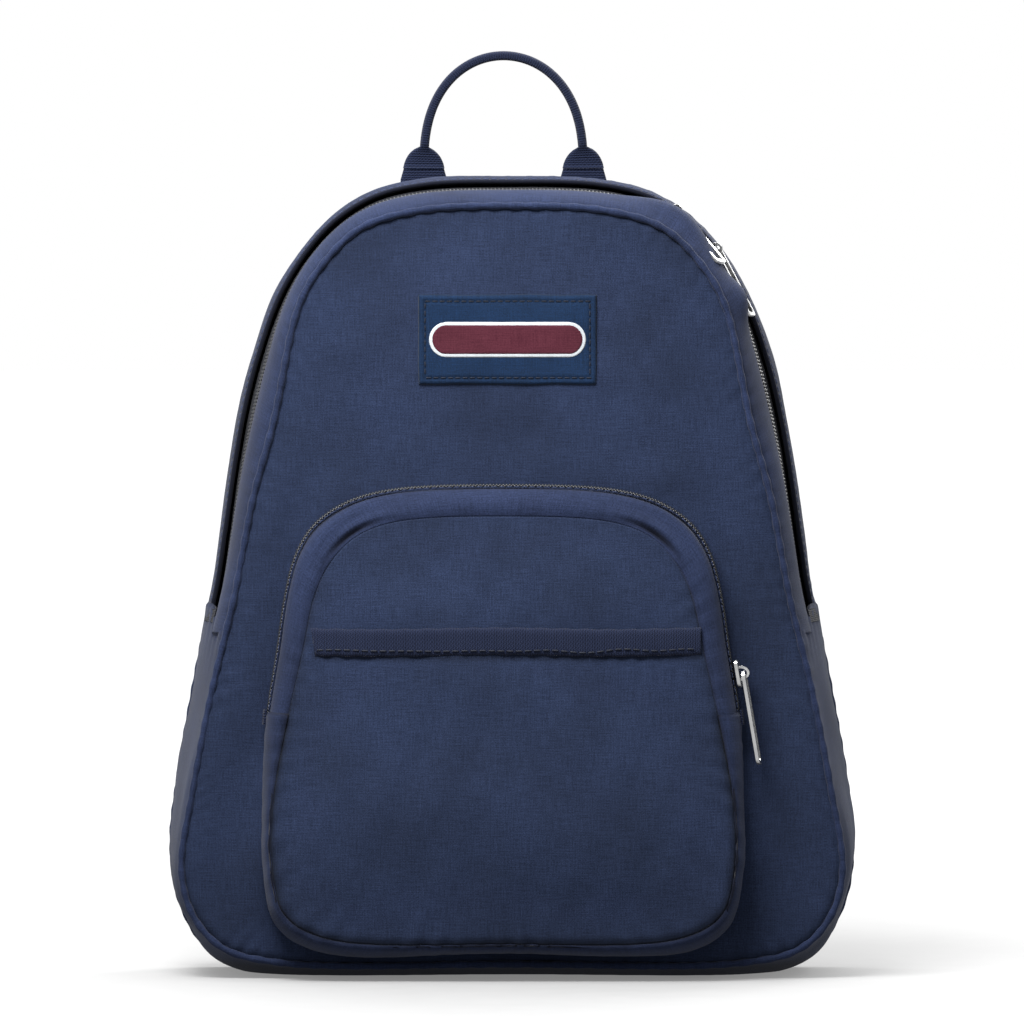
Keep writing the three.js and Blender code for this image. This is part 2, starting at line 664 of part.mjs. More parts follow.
function buildAnchors() {
  const [low, high] = BAND_Z;
  const y = BACK_Y + GAP + BAND_THICKNESS / 2;
  const band = [-BAND_HALF, BAND_HALF].map((x) => new THREE.Vector3(x, y, (low + high) / 2));
  const section = () => flat(high - low, BAND_THICKNESS);
  add("strap_anchor_band", sweep(band, new THREE.Vector3(0, 0, 1), section), WEBBING);
  for (const [word, side] of SIDES) {
    const shape = new THREE.Shape(TAB_CORNERS.map(([x, z]) => new THREE.Vector2(side * x, z)));
    const tab = plate(shape, STRAP_WEB_THICKNESS).rotateX(Math.PI / 2);
    tab.translate(0, BACK_Y + GAP + STRAP_WEB_THICKNESS / 2, 0);
    add("strap_tab_" + word, tab, WEBBING);
  }
}

// ---------------------------------------------------------------- shoulder straps

// The middle line of a padded strap, as [sideways, out of the back, up], from top to bottom.
const STRAP_LINE = [[36, 6, 281], [41, 21, 252], [49, 35, 208], [57, 40, 160], [67, 37, 112]];
const TAB_POINT = [100, 4.2, 27]; // where the lower webbing meets its tab
const PAD_WIDTHS = [34, 46, 30]; // at the top, in the middle and at the bottom
const PAD_DEPTHS = [5, 9]; // at the ends and in the middle
const LOCK_DROP = 14.5; // pad end to the ladder lock's top bar
const LOCK_FRAME = [[-14, 14], [-19.6, 1.6]];
const LOCK_SLOT = [-11, 11];
const LOCK_SLOTS = [[-6.5, -1.6], [-16.2, -9.7]]; // heights, below the top bar's middle
const LOCK_THICKNESS = 3.2;
const END_LOOP_BEND = 3.3; // radius of the webbing round the top bar
const TAIL_Y = 3.2; // the tail hangs outside the lock
const TAIL_SPAN = [-13, -68];

const strapPoint = (side, [x, out, z]) => new THREE.Vector3(side * x, BACK_Y + out, z);

function strapPad(side) {
  const curve = new THREE.CatmullRomCurve3(STRAP_LINE.map((place) => strapPoint(side, place)));
  const [top, middle, bottom] = PAD_WIDTHS;
  const section = (share) => {
    const widening = THREE.MathUtils.smootherstep(share, -0.1, 0.5);
    const narrowing = THREE.MathUtils.smoothstep(share, 0.7, 1);
    const width = lerp(lerp(top, middle, widening), bottom, narrowing);
    const fullness = Math.min(1, Math.min(share, 1 - share) / 0.08);
    return padded(width, lerp(...PAD_DEPTHS, fullness));
  };
  return sweep(curve.getSpacedPoints(18), new THREE.Vector3(1, 0, 0), section);
}

function lockGeometry() {
  const shape = roundedRectangle(new THREE.Shape(), ...LOCK_FRAME, 1.5);
  for (const slot of LOCK_SLOTS)
    shape.holes.push(roundedRectangle(new THREE.Path(), LOCK_SLOT, slot, 0.8));
  return plate(shape, LOCK_THICKNESS).rotateX(Math.PI / 2);
}

// Local axes of the lower strap: -Z runs down the webbing to its tab, +Y points away from the bag.
function lowerFrame(side) {
  const end = strapPoint(side, STRAP_LINE.at(-1));
  const up = end.clone().sub(strapPoint(side, TAB_POINT)).normalize();
  const over = new THREE.Vector3(1, 0, 0).addScaledVector(up, -up.x).normalize();
  const frame = new THREE.Matrix4().makeBasis(over, up.clone().cross(over), up);
  return frame.setPosition(end.addScaledVector(up, -LOCK_DROP));
}

function buildStrap(word, side) {
  add("strap_pad_" + word, strapPad(side), CANVAS);
  const lower = group("lower_strap_" + word);
  lower.applyMatrix4(lowerFrame(side));
  const sideways = new THREE.Vector3(1, 0, 0);
  const inLine = (y, zs) => zs.map((z) => new THREE.Vector3(0, y, z));

  const top = LOCK_DROP - 2.2;
  const turn = steps(0, Math.PI, 8).map(
    (t) => new THREE.Vector3(0, END_LOOP_BEND * Math.cos(t), -END_LOOP_BEND * Math.sin(t)),
  );
  const wrap = [...inLine(END_LOOP_BEND, [top]), ...turn, ...inLine(-END_LOOP_BEND, [top])];
  add("strap_end_loop_" + word, sweep(wrap, sideways, () => flat(STRAP_WEB, 1.1)), WEBBING, lower);

  add("ladder_lock_" + word, lockGeometry(), PLASTIC, lower);

  const section = () => flat(STRAP_WEB, STRAP_WEB_THICKNESS);
  const reach = strapPoint(side, STRAP_LINE.at(-1)).distanceTo(strapPoint(side, TAB_POINT));
  const span = [LOCK_FRAME[1][0] - 1.6, LOCK_DROP - reach];
  add("strap_webbing_" + word, sweep(inLine(-0.4, span), sideways, section), WEBBING, lower);
  add("strap_tail_" + word, sweep(inLine(TAIL_Y, TAIL_SPAN), sideways, section), WEBBING, lower);
}

// ---------------------------------------------------------------- the whole bag

buildBack();
buildPiping();
buildGussets();
buildZipEnds();
buildFrontPanel();
buildPocket();
buildSliders();
buildHaulLoop();
buildAnchors();
for (const [word, side] of SIDES) buildStrap(word, side);

export default backpack;
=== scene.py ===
"""School backpack: canvas body with an arched main zip, a zipped front pocket, webbing and straps.

Lengths are in millimetres until a mesh is made, and the front faces -Y. Each piece of cloth is a grid
of points on a surface, pushed out by folds and by puckers along its seams, and given its thickness.
On a side, `angle` is a direction round the outline, and `across` is 0 at its front and 1 at its back
for the body, and 0 at its face and 1 at its foot for the pocket.
"""
import math

import bpy
import numpy as np
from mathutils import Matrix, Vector


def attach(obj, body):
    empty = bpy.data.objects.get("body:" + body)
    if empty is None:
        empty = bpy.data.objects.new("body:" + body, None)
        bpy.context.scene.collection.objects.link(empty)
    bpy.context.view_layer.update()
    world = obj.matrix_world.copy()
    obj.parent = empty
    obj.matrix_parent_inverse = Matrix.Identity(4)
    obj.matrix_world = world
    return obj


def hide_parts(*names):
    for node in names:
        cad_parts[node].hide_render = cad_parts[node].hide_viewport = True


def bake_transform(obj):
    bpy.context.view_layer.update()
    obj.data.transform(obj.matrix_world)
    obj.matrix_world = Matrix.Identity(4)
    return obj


MM = 0.001
TAU = 2 * math.pi
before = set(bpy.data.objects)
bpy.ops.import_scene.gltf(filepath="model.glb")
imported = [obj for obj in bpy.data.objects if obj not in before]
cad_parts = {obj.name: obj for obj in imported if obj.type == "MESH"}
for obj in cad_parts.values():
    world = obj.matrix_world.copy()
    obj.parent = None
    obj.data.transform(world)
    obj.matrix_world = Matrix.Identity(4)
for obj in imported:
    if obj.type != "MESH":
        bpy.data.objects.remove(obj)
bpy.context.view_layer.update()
DETAIL = 1.0

# ---- dimensions

# The body. The point (0, SEAM_Z) is the one its directions are taken from.
SEAM_Z = 143
DEPTH_AT_BASE = 76
DEPTH_LOSS = 0.075
BACK_Y = 28.06
PANEL_BULGE = 5
GUSSET_BOW = math.radians(115)
CLOTH = 1.6
FOLD_Z = 200
SIDE_SEAM_SLANT = 2.2
PIPING_RADIUS = 1.4
PIPING_LOWEST = 1.3
FRONT_SEAM_HALF = [
    (0, 5.6), (92, 6.2), (115, 12), (127, 25), (131.6, 43), (127, 75), (119.3, 115), (110.5, 152),
    (103.3, 190), (95, 221), (85, 267), (76, 283), (60.5, 298), (38, 305), (0, 307),
]
SILHOUETTE_HALF = [
    (0, -3), (96, -2.6), (121, 6), (133, 25), (137, 50), (134.5, 76), (129.8, 104), (124.6, 132),
    (119.6, 155), (116.5, 176), (109.8, 221), (103.8, 246), (93, 274), (75.8, 298), (57, 311),
    (35, 316.5), (0, 317.6),
]

# Places across the body's side, and depths of the zip below it.
SEAM_SHARES = (0.005, 0.985)
FRONT_STRIP_END = 0.3
FRONT_TAPE = (0.24, 0.413)
ZIP_LINE = 0.42
REAR_TAPE = (0.427, 0.62)
REAR_STRIP_START = 0.56
TOPSTITCH_INSET = 0.035
ZIP_DEPTH = 3.1
COIL_SINK = 2.4

# Where the front gusset covers the zip pulls: direction and spread in degrees, and height.
PULL_COVERS = ((67.5, 5.8, 4.8), (54.8, 2.7, 4.0))

# The front pocket, with its webbing strip. Its corners turn at CORNER_TURNS degrees.
POCKET_X = -3.5
POCKET_SEAM_Z = 104
POCKET_DEPTH_LOW = 25
POCKET_DEPTH_HIGH = 12
POCKET_BULGE = 4
POCKET_ZIP_LINE = 0.825
POCKET_FIXED_TAPE = (0.832, 0.985)
POCKET_MOVING_TAPE = (0.66, 0.818)
POCKET_COIL_STAND = 0.5
POCKET_BASE_HALF = [
    (0, 11), (74, 11.8), (90, 22), (95, 44), (95.5, 64), (93.6, 104), (89.6, 131), (86.6, 152),
    (82.4, 168.5), (75.4, 180), (63, 188.8), (45, 194), (0, 196),
]
POCKET_FACE_HALF = [
    (0, 15), (71, 17.5), (87, 27), (92, 47), (91.5, 70), (85.5, 104), (79.5, 131), (75, 152),
    (69, 165), (59, 175.5), (44, 181.5), (0, 184),
]
CORNER_TURNS = (50, 130)
STRIP_X = (-79, 75)
STRIP_Z = (129.2, 140)

# The label patch.
PATCH_X = -1.8
PATCH_Z = 253.8
PATCH_HALF = (35.4, 17.8)  # half its width and half its height
PATCH_STITCH_INSET = 2.6
STITCH_LIFT = 0.1

# The haul loop: its feet stand at LOOP_Z, in bases that start at LOOP_BASE_Z.
LOOP_X = -3.4
LOOP_Y = BACK_Y + 3.2
LOOP_Z = 321
LOOP_BASE_Z = 286
LOOP_HALF_SPAN = 32
LOOP_CREST = 45.2

# The back's quilting lines, and the straps. STRAP_LINE is the middle of the right pad, from its top.
QUILT_X = 46
QUILT_Z = 92
PAD_PRESSURE = 4.0
BACK_CAP = 4.0
STRAP_CAP = 2.2
CLOTH_STEPS = 20
ANCHOR_Z = 294.0
STRAP_LINE = np.array([
    (36, BACK_Y + 6, 283), (41, BACK_Y + 21, 252), (49, BACK_Y + 35, 208),
    (57, BACK_Y + 40, 160), (67, BACK_Y + 37, 112),
])
TAB_POINT = np.array((100, BACK_Y + 4.2, 27.0))
LOCK_DROP = 14.5

# The folds: which flap turns, and the heights between which the cloth bends.
FOLDS = {
    "front_fold": ("front_flap", FOLD_Z - 7, FOLD_Z + 9),
    "pocket_fold": ("pocket_flap", POCKET_SEAM_Z - 7, POCKET_SEAM_Z + 8),
}

# The view, in metres and radians, and half the floor's width.
VIEW_WIDTH = 0.4096
VIEW_HEIGHT = 0.184
VIEW_TILT = math.radians(2.0)
FLOOR_HALF = 9000

# ---- outlines


def hermite_step(p1, p2, m1, m2, t):
    """The cubic from p1 to p2 that leaves with m1 and arrives with m2."""
    return ((2 * t**3 - 3 * t**2 + 1) * p1 + (t**3 - 2 * t**2 + t) * m1
            + (3 * t**2 - 2 * t**3) * p2 + (t**3 - t**2) * m2)


def catmull_rom(points, per_span=30):
    """A closed centripetal spline through points."""
    pts = np.asarray(points, float)
    count = len(pts)
    t = np.linspace(0, 1, per_span, endpoint=False)[:, None]
    spans = []
    for i in range(count):
        p0, p1, p2, p3 = (pts[(i + k) % count] for k in (-1, 0, 1, 2))
        d0, d1, d2 = (math.sqrt(np.linalg.norm(b - a)) for a, b in ((p0, p1), (p1, p2), (p2, p3)))
        m1 = ((p1 - p0) / d0 - (p2 - p0) / (d0 + d1) + (p2 - p1) / d1) * d1
        m2 = ((p2 - p1) / d1 - (p3 - p1) / (d1 + d2) + (p3 - p2) / d2) * d1
        spans.append(hermite_step(p1, p2, m1, m2, t))
    return np.concatenate(spans)


class Outline:
    """A closed outline in XZ, anticlockwise from bottom centre as seen from the front."""

    def __init__(self, half, cx, cz):
        right = [(cx + x, z) for x, z in half]
        left = [(cx - x, z) for x, z in half[-2:0:-1]]
        self.cx, self.cz = cx, cz
        self.points = catmull_rom(right + left)
        d = self.points - (cx, cz)
        angle = np.unwrap(np.arctan2(d[:, 1], d[:, 0]))
        self.angle = np.concatenate([angle - TAU, angle, angle + TAU])
        self.radius = np.tile(np.hypot(d[:, 0], d[:, 1]), 3)
        self.bottom, self.top = self.points[:, 1].min(), self.points[:, 1].max()
        rising = self.points[: np.argmax(self.points[:, 1]) + 1]
        self.rise_z = np.maximum.accumulate(rising[:, 1])
        self.rise_x = rising[:, 0] - cx

    def at(self, angle, share=1.0):
        """Points in the given directions, at a share of the way out from the centre."""
        r = np.interp(angle, self.angle, self.radius) * share
        return self.cx + r * np.cos(angle), self.cz + r * np.sin(angle)

    def half_width(self, z):
        return np.interp(z, self.rise_z, self.rise_x)


front_seam = Outline(FRONT_SEAM_HALF, 0, SEAM_Z)
silhouette = Outline(SILHOUETTE_HALF, 0, SEAM_Z)
pocket_base = Outline(POCKET_BASE_HALF, POCKET_X, POCKET_SEAM_Z)
pocket_face = Outline(POCKET_FACE_HALF, POCKET_X, POCKET_SEAM_Z)

# ---- surfaces


def mix(a, b, t):
    return a + (b - a) * t


def smooth(low, high, value):
    t = np.clip((value - low) / (high - low), 0, 1)
    return t * t * (3 - 2 * t)


def bell(value, spread):
    """1 at zero, falling to 0 over about twice the spread."""
    return np.exp(-((value / spread) ** 2))


def dome(outline, x, z):
    """1 in the middle of an outline, falling to 0 at its edge."""
    u = (x - outline.cx) / np.maximum(outline.half_width(z), 1)
    v = 2 * (z - outline.bottom) / (outline.top - outline.bottom) - 1
    return np.maximum(0, 1 - u * u) * np.maximum(0, 1 - v * v)


def front_y(x, z):
    """The front panel's face."""
    return BACK_Y - (DEPTH_AT_BASE - DEPTH_LOSS * z) - PANEL_BULGE * dome(front_seam, x, z)


def pocket_y(x, z):
    """The pocket's face."""
    share = np.clip((z - pocket_face.bottom) / (pocket_face.top - pocket_face.bottom), 0, 1)
    depth = mix(POCKET_DEPTH_LOW, POCKET_DEPTH_HIGH, share)
    return front_y(x, z) - depth - POCKET_BULGE * dome(pocket_face, x, z)


def body_side(angle, across):
    """The body's side, which bows outwards from the front seam to the back seam."""
    fx, fz = front_seam.at(angle)
    sx, sz = silhouette.at(angle)
    bow = np.sin(across * GUSSET_BOW)
    y = BACK_Y - (DEPTH_AT_BASE - DEPTH_LOSS * fz) * (1 - across)
    return np.stack([mix(fx, sx, bow), y, np.maximum(mix(fz, sz, bow), 0)], -1)


def pocket_side(angle, across):
    """The pocket's side, which rolls over from its face to its foot on the panel."""
    bx, bz = pocket_base.at(angle)
    px, pz = pocket_face.at(angle)
    turn = (1 - across) * math.pi / 2
    y = mix(front_y(bx, bz) - 0.3, pocket_y(px, pz), np.sin(turn))
    return np.stack([mix(bx, px, 1 - np.cos(turn)), y, mix(bz, pz, 1 - np.cos(turn))], -1)


def inward(surface, angle, across):
    """The direction from a side's outer face into the bag."""
    step = 0.01
    up = surface(angle + step, across) - surface(angle - step, across)
    over = surface(angle, across + step) - surface(angle, across - step)
    n = np.cross(up, over)
    return n / np.maximum(np.linalg.norm(n, axis=-1, keepdims=True), 1e-9)


def on_surface(surface, angle, across, depth=0.0):
    """Points of a side at a depth below its outer face."""
    angle, across = np.broadcast_arrays(np.asarray(angle, float), np.asarray(across, float))
    return surface(angle, across) + inward(surface, angle, across) * np.expand_dims(depth, -1)


# ---- folds and puckers


def waves(seed, a, b, size, count=9):
    """Smooth random relief, about -1 to 1, with features of about `size`."""
    rng = np.random.default_rng(seed)
    total = np.zeros(np.broadcast(a, b).shape)
    for _ in range(count):
        turn, phase = rng.uniform(0, TAU, 2)
        length = size * rng.uniform(0.7, 1.8)
        total += np.sin((a * math.cos(turn) + b * math.sin(turn)) * TAU / length + phase)
    return total / math.sqrt(count / 2) / 1.6


def pucker(seed, along, away, pitch=7.5, height=0.55, reach=6.0):
    """Ripples across a seam: they run along it and die out away from it."""
    bend = waves(seed, along, 0 * along, 38) * 1.9
    size = 0.6 + 0.4 * waves(seed + 1, along, 0 * along, 24)
    return height * size * np.sin(along * TAU / pitch + bend) * np.exp(-away / reach)


def along_length(points):
    """Distance along each line of points, from the first. The lines run along the first axis."""
    step = np.linalg.norm(np.diff(points, axis=0), axis=-1)
    return np.concatenate([np.zeros_like(step[:1]), np.cumsum(step, axis=0)])


# ---- mesh making


def mesh_object(name, verts, faces, uv=None, shade=None):
    """An object from points in millimetres. `uv` is in millimetres of cloth; `shade` is painted shade: it
    darkens the colour where shade falls in seams, grooves and recesses.
    """
    verts = np.asarray(verts, float).reshape(-1, 3) * MM
    loops = np.concatenate([block.ravel() for block in faces]).astype(np.int32)
    sizes = np.concatenate([np.full(len(block), block.shape[1], np.int32) for block in faces])
    me = bpy.data.meshes.new(name)
    me.vertices.add(len(verts))
    me.vertices.foreach_set("co", verts.astype(np.float32).ravel())
    me.loops.add(len(loops))
    me.loops.foreach_set("vertex_index", loops)
    me.polygons.add(len(sizes))
    me.polygons.foreach_set("loop_start", (np.cumsum(sizes) - sizes).astype(np.int32))
    me.update(calc_edges=True)
    me.validate()
    me.polygons.foreach_set("use_smooth", np.ones(len(me.polygons), bool))
    if uv is not None:
        layer = me.uv_layers.new(name="Cloth")
        layer.data.foreach_set("uv", np.asarray(uv, np.float32).reshape(-1, 2)[loops].ravel())
    tone = np.ones(len(verts)) if shade is None else np.asarray(shade, float).ravel()
    attribute = me.attributes.new("Shade", "FLOAT", "POINT")
    attribute.data.foreach_set("value", tone.astype(np.float32))
    ob = bpy.data.objects.new(name, me)
    bpy.context.scene.collection.objects.link(ob)
    return ob


def grid_faces(n, m, start=0, flip=False):
    """The quads of an n by m grid of points."""
    a = start + np.arange(n - 1)[:, None] * m + np.arange(m - 1)
    quads = np.stack([a, a + m, a + m + 1, a + 1], -1).reshape(-1, 4)
    return quads[:, ::-1] if flip else quads


def sheet_mesh(name, outer, thickness, uv, shade=None, flip=False):
    """A grid of cloth with its thickness. flip is for grids whose own normal points outwards."""
    n, m, _ = outer.shape
    normal = np.cross(np.gradient(outer, axis=0), np.gradient(outer, axis=1)) * (-1 if flip else 1)
    normal /= np.maximum(np.linalg.norm(normal, axis=-1, keepdims=True), 1e-9)
    inner = outer + normal * thickness
    count = n * m
    rim = np.concatenate([
        np.arange(m), np.arange(1, n) * m + m - 1,
        (n - 1) * m + np.arange(m - 2, -1, -1), np.arange(n - 2, 0, -1) * m,
    ])
    after = np.roll(rim, -1)
    edge = np.stack([rim, after, after + count, rim + count], -1)
    if not flip:
        edge = edge[:, ::-1]
    faces = [grid_faces(n, m, 0, not flip), grid_faces(n, m, count, flip), edge]
    tone = np.ones((n, m)) if shade is None else shade
    # The inner face carries a little more painted shade than the outer.
    return mesh_object(name, [outer, inner], faces, [uv, uv], [tone, tone * 0.8])


def tube_walls(rings, sides, closed=False):
    """Quads between the rings of a tube."""
    here = np.arange(rings if closed else rings - 1)[:, None] * sides
    ahead = (here + sides) % (rings * sides)
    j = np.arange(sides)
    after = (j + 1) % sides
    return np.stack([here + j, here + after, ahead + after, ahead + j], -1).reshape(-1, 4)


def sweep_mesh(name, path, side, section, closed=False):
    """A solid along a path. section(share) gives corners as (sideways, outwards) pairs."""
    if closed:
        tangent = np.roll(path, -1, 0) - np.roll(path, 1, 0)
    else:
        tangent = np.gradient(path, axis=0)
    tangent /= np.linalg.norm(tangent, axis=1, keepdims=True)
    out = np.cross(tangent, np.broadcast_to(side, path.shape))
    out /= np.linalg.norm(out, axis=1, keepdims=True)
    over = np.cross(out, tangent)
    corners = np.stack([section(share) for share in np.linspace(0, 1, len(path))])
    rings = path[:, None] + corners[..., :1] * over[:, None] + corners[..., 1:] * out[:, None]
    n, k, _ = rings.shape
    around = np.linalg.norm(np.roll(corners[0], -1, 0) - corners[0], axis=1)
    around = np.cumsum(around) - around
    uv = np.stack(np.broadcast_arrays(along_length(path)[:, None], around), -1)
    faces = [tube_walls(n, k, closed)]
    if not closed:
        cap = np.arange(k)[None, :]
        faces += [cap, (n - 1) * k + cap[:, ::-1]]
    return mesh_object(name, rings, faces, uv)


def round_section(radius, sides=10, flatten=1.0):
    turn = (np.arange(sides) + 0.5) * TAU / sides
    return np.stack([radius * np.cos(turn), radius * flatten * np.sin(turn)], -1)


def band_section(width, thickness, sides=20, square=0.28):
    """A flat band with rounded edges."""
    c, s = round_section(1.0, sides).T
    return np.stack([width / 2 * np.sign(c) * np.abs(c) ** square,
                     thickness / 2 * np.sign(s) * np.abs(s) ** 0.6], -1)


def capsules(name, centres, directions, outs, length, radius, lift=0.0):
    """Many short rounded bars in one mesh: stitches or zip teeth."""
    directions = directions / np.linalg.norm(directions, axis=1, keepdims=True)
    over = np.cross(directions, outs)
    over /= np.maximum(np.linalg.norm(over, axis=1, keepdims=True), 1e-9)
    up = np.cross(over, directions)
    sides = 6
    turn = np.arange(sides)[None, :, None] * TAU / sides
    round_it = np.cos(turn) * over[:, None] + np.sin(turn) * up[:, None]
    rings = []
    for share, fat in ((-0.5, 0.45), (-0.38, 0.95), (0.38, 0.95), (0.5, 0.45)):
        base = centres + directions * (share * length) + up * lift
        rings.append(base[:, None] + radius * fat * round_it)
    verts = np.stack(rings, 1)  # bar, ring, side
    per = sides * len(rings)
    walls = tube_walls(len(rings), sides)
    ends = np.stack([np.arange(sides)[::-1], np.arange(per - sides, per)])
    starts = (np.arange(len(centres)) * per)[:, None, None]
    return mesh_object(name, verts, [(walls + starts).reshape(-1, 4), (ends + starts).reshape(-1, sides)])


def sampled(values, knots, at):
    """Vectors given at knots, interpolated."""
    return np.stack([np.interp(at, knots, values[:, k]) for k in range(3)], -1)


def stitches(name, path, outs, pitch=3.2, length=2.3, radius=0.26):
    """A row of stitches along a path. `outs` is one outward direction, or one for each point."""
    reach = along_length(path)
    spots = np.arange(pitch / 2, reach[-1], pitch)
    directions = sampled(path, reach, spots + 0.3) - sampled(path, reach, spots - 0.3)
    outs = sampled(np.broadcast_to(outs, path.shape), np.linspace(0, 1, len(path)), spots / spots[-1])
    return capsules(name, sampled(path, reach, spots), directions, outs, length, radius, STITCH_LIFT)


def joined(name, parts):
    """Several objects made into one mesh."""
    bpy.ops.object.select_all(action="DESELECT")
    for ob in parts:
        ob.select_set(True)
    bpy.context.view_layer.objects.active = parts[0]
    bpy.ops.object.join()
    parts[0].name = parts[0].data.name = name
    return parts[0]


# ---- materials


class Nodes:
    """A small helper that adds linked shader nodes."""

    def __init__(self, name):
        self.mat = bpy.data.materials.new(name)
        self.mat.use_nodes = True
        self.tree = self.mat.node_tree
        self.shader = self.tree.nodes["Principled BSDF"]

    def add(self, kind, inputs=None, **settings):
        node = self.tree.nodes.new(kind)
        for key, value in settings.items():
            setattr(node, key, value)
        for key, value in (inputs or {}).items():
            self.put(node.inputs[key], value)
        return node

    def put(self, socket, value):
        if isinstance(value, bpy.types.NodeSocket):
            self.tree.links.new(value, socket)
        else:
            socket.default_value = value

    def math(self, operation, a, b=0.0, c=0.0, clamp=False):
        node = self.add("ShaderNodeMath", {0: a, 1: b, 2: c}, operation=operation, use_clamp=clamp)
        return node.outputs[0]

    def blend(self, share, a, b):
        """A mix of two colours, each of them sRGB hex, linear values or a socket."""
        a, b = (rgb(colour) if isinstance(colour, str) else colour for colour in (a, b))
        return self.add("ShaderNodeMix", {0: share, 6: a, 7: b}, data_type="RGBA").outputs[2]

    def place(self):
        """The point on the object, in metres."""
        return self.add("ShaderNodeTexCoord").outputs["Object"]

    def stretched(self, vector, factors):
        return self.add("ShaderNodeVectorMath", {0: vector, 1: factors}, operation="MULTIPLY").outputs[0]

    def noise(self, vector, scale, detail=2.0):
        return self.add("ShaderNodeTexNoise",
                        {"Vector": vector, "Scale": scale, "Detail": detail}).outputs[0]

    def twill(self, scale, distortion):
        return self.add("ShaderNodeTexWave",
                        {"Vector": self.place(), "Scale": scale, "Distortion": distortion},
                        bands_direction="DIAGONAL").outputs[1]

    def bump(self, height, strength, distance, **normal):
        inputs = {"Height": height, "Strength": strength, "Distance": distance, **normal}
        return self.add("ShaderNodeBump", inputs).outputs[0]

    def set(self, **values):
        for key, value in values.items():
            self.put(self.shader.inputs[key.replace("_", " ")], value)
        return self.mat


def rgb(hex_colour):
    """A linear colour from sRGB hex."""
    parts = [int(hex_colour[i:i + 2], 16) / 255 for i in (0, 2, 4)]
    return tuple(((c + 0.055) / 1.055) ** 2.4 if c > 0.04045 else c / 12.92 for c in parts) + (1.0,)


def cloth_coordinates(n):
    """Millimetres across the cloth, as the whole vector and as two sockets."""
    uv = n.add("ShaderNodeUVMap", uv_map="Cloth").outputs[0]
    parts = n.add("ShaderNodeSeparateXYZ", {0: uv})
    return uv, parts.outputs[0], parts.outputs[1]


def canvas(name, colour, light, dark, pitch=0.62):
    """Plain-weave polyester: crossing threads, slubs and a cloudy tone, with painted shade from the Shade
    attribute that darkens seams and recesses.
    """
    n = Nodes(name)
    uv, u, v = cloth_coordinates(n)
    wobble = n.noise(uv, 0.35, 1.0)
    warp = n.math("SINE", n.math("MULTIPLY_ADD", u, TAU / pitch, wobble))
    weft = n.math("SINE", n.math("MULTIPLY_ADD", v, TAU / pitch, wobble))
    weave = n.math("MULTIPLY_ADD", n.math("MULTIPLY", warp, weft), 0.5, 0.5)
    across = n.noise(n.stretched(uv, (0.12, 2.2, 1)), 1.0, 1.0)
    down = n.noise(n.stretched(uv, (2.2, 0.12, 1)), 1.0, 1.0)
    slub = n.math("MULTIPLY", n.math("ADD", across, down), 0.5)
    grain = n.noise(uv, 1.7)
    cloud = n.noise(uv, 0.025, 3.0)
    mixed = n.math("MULTIPLY_ADD", weave, 0.25, n.math("ADD", grain, slub))
    fleck = n.math("MULTIPLY_ADD", mixed, 1.6, -1.4, clamp=True)
    base = n.blend(fleck, colour, light)
    base = n.blend(n.math("MULTIPLY_ADD", cloud, -1.0, 0.6, clamp=True), base, dark)
    # Painted shade: the Shade attribute mixes the colour towards `dark` in seams, grooves and recesses.
    tone = n.add("ShaderNodeAttribute", attribute_name="Shade").outputs["Fac"]
    base = n.blend(n.math("SUBTRACT", 1.0, tone, clamp=True), base, dark)
    normal = n.bump(slub, 0.4, 0.00025, Normal=n.bump(weave, 0.35, 0.00012))
    rough = n.math("MULTIPLY_ADD", grain, 0.15, 0.76)
    return n.set(Base_Color=base, Roughness=rough, Normal=normal, Sheen_Weight=0.03,
                 Sheen_Roughness=0.5, Specular_IOR_Level=0.06)


def webbing(name, colour, light, rib=0.95, on_cloth=True):
    """Woven ribs with fine chevrons. Pieces without cloth coordinates take their ribs from height."""
    n = Nodes(name)
    if on_cloth:
        where, along, over = cloth_coordinates(n)
    else:
        where = n.stretched(n.place(), (1000, 1000, 1000))
        parts = n.add("ShaderNodeSeparateXYZ", {0: where})
        along, over = parts.outputs[2], parts.outputs[0]
    ribs = n.math("SINE", n.math("MULTIPLY", along, TAU / rib))
    zig = n.math("PINGPONG", over, 0.8)
    chevron = n.math("SINE", n.math("MULTIPLY", n.math("ADD", along, zig), TAU / 1.25))
    height = n.math("MULTIPLY_ADD", chevron, 0.4, n.math("MULTIPLY", ribs, 0.5))
    grain = n.noise(where, 1.4)
    share = n.math("MULTIPLY_ADD", n.math("ADD", height, grain), 0.34, 0.18, clamp=True)
    base = n.blend(share, colour, light)
    return n.set(Base_Color=base, Roughness=0.8, Normal=n.bump(height, 0.7, 0.0003),
                 Sheen_Weight=0.03, Specular_IOR_Level=0.08)


def smooth_plastic(name, colour, light, roughness):
    """Moulded or coil nylon with a faint grain."""
    n = Nodes(name)
    grain = n.noise(n.place(), 900.0)
    rough = n.math("MULTIPLY_ADD", grain, 0.2, roughness - 0.1)
    return n.set(Base_Color=n.blend(grain, colour, light), Roughness=rough,
                 Normal=n.bump(grain, 0.12, 0.0001))


def metal(name, colour, dark, bright):
    """Satin die-cast metal: brushed streaks, cloudy tone and worn edges."""
    n = Nodes(name)
    where = n.place()
    streaks = n.noise(n.stretched(where, (3000, 3000, 160)), 1.0)
    cloud = n.noise(where, 260.0, 3.0)
    edge = n.add("ShaderNodeNewGeometry").outputs["Pointiness"]
    worn = n.math("MULTIPLY", n.math("SUBTRACT", edge, 0.5), 5.0, clamp=True)
    base = n.blend(worn, n.blend(cloud, colour, dark), bright)
    return n.set(Base_Color=base, Metallic=1.0, Roughness=n.math("MULTIPLY_ADD", streaks, 0.2, 0.18),
                 Normal=n.bump(streaks, 0.1, 0.00005))


def thread(name, colour, light):
    """Twisted sewing thread."""
    n = Nodes(name)
    twist = n.twill(900.0, 1.0)
    return n.set(Base_Color=n.blend(twist, colour, light), Roughness=0.7,
                 Normal=n.bump(twist, 0.3, 0.0001), Specular_IOR_Level=0.2)


